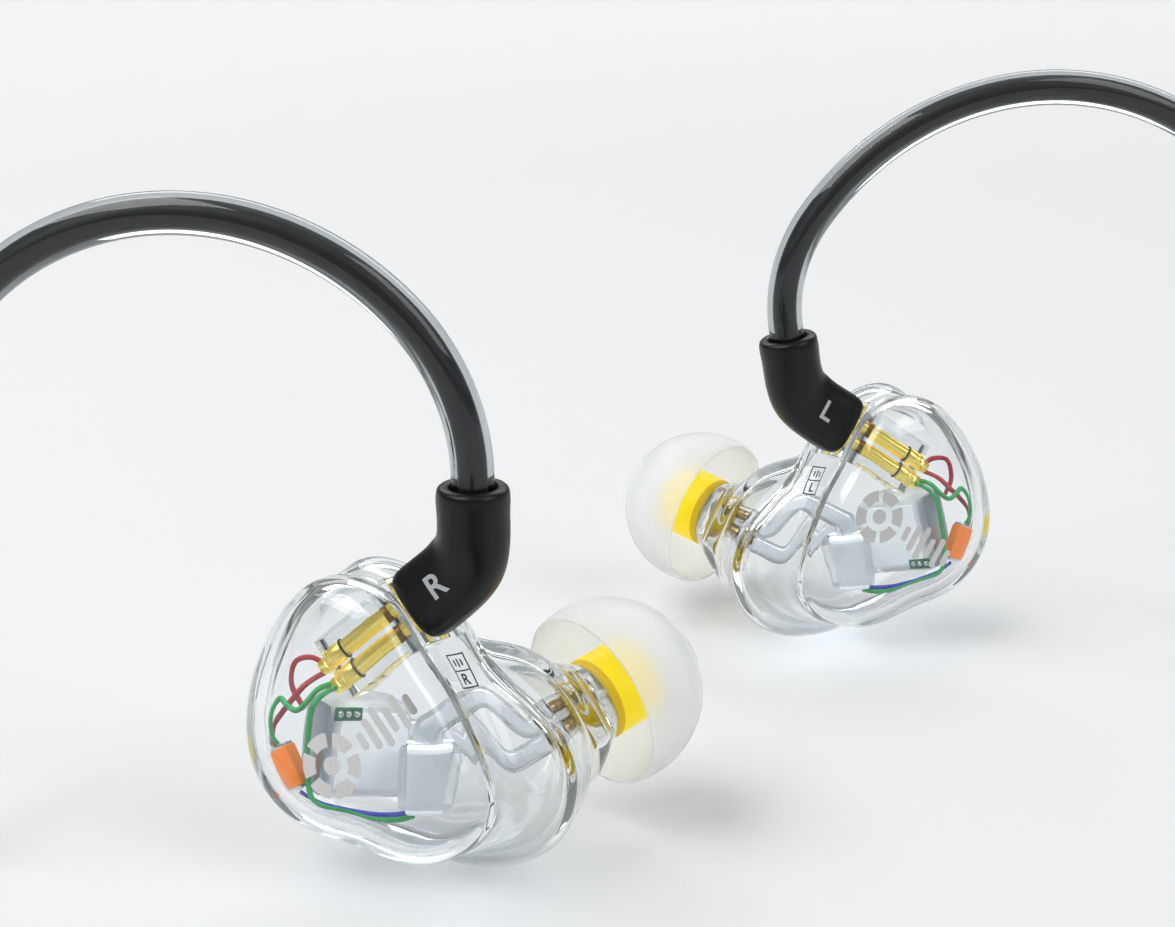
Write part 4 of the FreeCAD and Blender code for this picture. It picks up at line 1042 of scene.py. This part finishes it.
def build_cables():
    """Routes of the two branches and of the main cable."""
    right = branch_points("r")
    right += [coil_point(-112, 19.5, 2.2), coil_point(-92, 15.5, 6.6)]
    right += coil_turns(-70, 470, 14.3, 13.1, TOP)
    right += [coil_point(500, 12.9, TOP + 0.9), splitter_end(16.5, 0.8), splitter_end(12.4, 0.75)]
    left = branch_points("l")
    left += [coil_point(66, 19.0, 2.4), coil_point(88, 14.5, 6.8)]
    left += coil_turns(110, 470, 12.4, 11.4, TOP)
    left += [coil_point(500, 11.3, TOP + 0.9), splitter_end(16.5, -0.8), splitter_end(12.4, -0.75)]
    main = [splitter_end(0.6), splitter_end(-3.4), coil_point(262, 13.4, 9.9), coil_point(284, 11.2, 9.4),
            coil_point(304, 9.6, 8.3), coil_point(324, 8.95, 6.8)]
    turns = ((5.65, 8.95), (5.65, 11.0), (5.65, 13.05), (3.6, 15.1), (3.6, 13.05), (3.6, 11.0),
             (3.6, 8.95), (1.55, 11.0), (1.55, 13.05), (1.55, 15.1))
    height, radius = 5.9, 8.95
    angle = 344
    for level, reach in turns:
        for step in range(15):
            if (level, reach) == turns[-1] and step > 5 and angle % 360 > PLUG_SIDE:
                break
            share = min(1, (step + 1) / 3)
            smooth = share * share * (3 - 2 * share)
            main.append(coil_point(angle, radius + (reach - radius) * smooth,
                                   height + (level - height) * smooth))
            angle += TURN_STEP
        height, radius = level, reach
    plug = plug_point(0)
    main += [coil_point(-96, 15.2, 1.9), coil_point(-72, 16.1, 2.2),
             plug - PLUG_HEADING * 7 + Vector((0, 0, -0.9)), plug]
    return right, left, main


PLUG_START = Vector((10.6, -82.6, 3.0))
PLUG_HEADING = level_heading(28)


def plug_point(along):
    return PLUG_START + PLUG_HEADING * along


def curve_length(item):
    """Length of a curve's own line, in metres."""
    plain = item.data.copy()
    plain.bevel_depth = 0
    probe = linked("probe", plain)
    mesh = evaluated_mesh(probe)
    bpy.data.objects.remove(probe)
    spots = [vertex.co for vertex in mesh.vertices]
    return sum((spots[a] - spots[b]).length for a, b in (edge.vertices for edge in mesh.edges))


def turn_frame(point, heading):
    """Matrix in metres whose z runs along a level heading, from a point in millimetres."""
    x = Vector((0, 0, 1))
    return Matrix.Translation(point * MM) @ axes(x, heading.cross(x), heading)


def build_lead_fittings():
    """The splitter, and the plug with its relief."""
    def turned(name, profile, along, mat, stands_for=(), **options):
        frame_here = turn_frame(plug_point(along), PLUG_HEADING)
        return lathe(name, profile, frame_here, mat, "lead", stands_for, **options)

    profile = [(0.02, 0.0), (1.2, 0.0), (1.38, 0.15)]
    for groove in range(3):
        wide, at = 0.18 * groove, 0.6 * groove
        profile += [(1.5 + wide, 0.5 + at), (1.34 + wide, 0.62 + at), (1.36 + wide, 0.85 + at),
                    (1.56 + wide, 0.95 + at)]
    profile += [(2.04, 2.5), (2.1, 2.8), (2.1, 11.3), (2.0, 12.0), (1.75, 12.7),
                (1.5, SPLITTER_LENGTH), (0.02, SPLITTER_LENGTH)]
    splitter = lathe("splitter_body", profile, turn_frame(SPLITTER_START, SPLITTER_HEADING), BLACK, "lead",
                     ("y_splitter",))
    ribs = [(0.02, 0.0), (1.35, 0.0), (1.5, 0.12)]
    for groove in range(5):
        low = 1.52 + 0.11 * groove
        at = 0.9 + 1.2 * groove
        ribs += [(low, at), (low - 0.22, at + 0.14), (low - 0.2, at + 0.42), (low + 0.05, at + 0.56)]
    ribs += [(2.1, 7.2), (2.1, 8.0), (0.02, 8.0)]
    barrel = ((0.02, 0), (2.3, 0), (2.75, 0.12), (2.95, 0.4), (3.0, 0.8), (3.0, 10.2), (2.9, 10.35),
              (2.9, 10.6), (3.0, 10.75), (3.0, 13.3), (2.85, 13.75), (2.5, 14.0), (0.02, 14.0))
    band = ((2.93, 10.32), (2.96, 10.38), (2.96, 10.58), (2.93, 10.64))
    neck = ((0.9, 0), (2.25, 0), (2.35, 0.1), (2.35, 0.5), (2.25, 0.6), (1.75, 0.62), (1.75, 6.2),
            (1.7, 6.3), (0.9, 6.3))
    ring = ((0.9, 6.9), (1.7, 6.9), (1.75, 6.98), (1.75, 9.3), (1.7, 9.4), (0.9, 9.4))
    tip = ((0.02, 10.0), (1.25, 10.0), (1.4, 10.2), (1.75, 10.9), (1.75, 11.5), (1.5, 12.1), (1.25, 12.4),
           (1.4, 12.7), (1.65, 12.95), (1.6, 13.2), (1.2, 13.65), (0.7, 13.93), (0.3, 14.0), (0.02, 14.0))
    gaps = ((0.02, 0.5), (0.88, 0.5), (0.88, 6.2), (1.72, 6.32), (1.72, 6.88), (0.88, 6.95), (0.88, 9.3),
            (1.72, 9.42), (1.72, 9.98), (0.02, 9.98))
    return splitter, [
        turned("relief_sleeve", ribs, 0, LEAD, ("plug_relief",)),
        turned("barrel_shell", barrel, 8, SHELL_METAL, ("plug_barrel",), steps=64),
        turned("barrel_band", band, 8, GOLD, steps=64, closed=True),
        turned("contact_sleeve", neck, 22, GOLD, ("jack_sleeve",), closed=True),
        turned("contact_ring", ring, 22, GOLD, ("jack_ring",), closed=True),
        turned("contact_tip", tip, 22, GOLD, ("jack_tip",)),
        turned("contact_gaps", gaps, 22, INSULATOR, ("jack_insulator",)),
    ]


TIE_ANGLE = 35


def build_tie():
    """A woven strap with rounded edges round the coil's section."""
    across, along = level_heading(TIE_ANGLE), level_heading(TIE_ANGLE + 90)
    middle = coil_point(TIE_ANGLE, 12, 0.5 + 7.6 / 2)
    rings = []
    section = ((-2.0, 0.12), (-1.9, 0.42), (-1.6, 0.5), (1.6, 0.5), (1.9, 0.42), (2.0, 0.12), (1.9, 0.02),
               (-1.9, 0.02))
    for c, s in circle(64):
        reach = (abs(c) ** 5 + abs(s) ** 5) ** -0.2
        ring_points = []
        for place, height in section:
            lift = Vector((0, 0, s * reach * (3.78 + height)))
            point = middle + across * (c * reach * (4.13 + height)) + lift + along * place
            point.z = max(point.z, 0.03)
            ring_points.append(point * MM)
        rings.append(ring_points)
    return loft("strap_tie", rings, STRAP, "lead", ("coil_tie",), closed=True, sharp=60)


def build_cords():
    right, left, main = build_cables()
    splitter, plug_pieces = build_lead_fittings()
    tie = build_tie()
    lead_r = nurbs("cable_right", right, LEAD_RADIUS, LEAD)
    lead_l = nurbs("cable_left", left, LEAD_RADIUS, LEAD)
    cable = nurbs("cable_main", main, 1.0, LEAD)
    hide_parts("branch_cable_r")
    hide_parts("branch_cable_l")
    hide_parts("cable_coil", "plug_lead")
    for ear, branch in (("r", lead_r), ("l", lead_l)):
        hook_points(ear)[-1]
        curve_length(branch)
    curve_length(cable)


add_camera()
studio_world()
area_light("key", (-0.45, -0.15, 0.75), (0.7, 0.5), 5.0)
area_light("fill", (0.55, -0.35, 0.6), (0.35, 0.6), 1.8)
area_light("back", (0.1, 0.75, 0.55), (1.2, 0.25), 3.0)
build_floor()
build_cords()
for ear in "rl":
    shell, dome = build_shell(ear)
    build_socket(ear)
    build_drivers(ear)
    build_tubes(ear)
    build_wires(ear)
    build_tip(ear)
    boot = build_boot(ear)
    build_hook(ear)
    build_marks(ear, shell, dome, boot)

for stem, mat in (("plug_pins", GOLD), ("pin_carrier", INSULATOR)):
    for ear in "rl":
        node = nodes[stem + "_" + ear]
        node.data.materials.clear()
        node.data.materials.append(mat)

bpy.context.scene.view_settings.view_transform = "Standard"
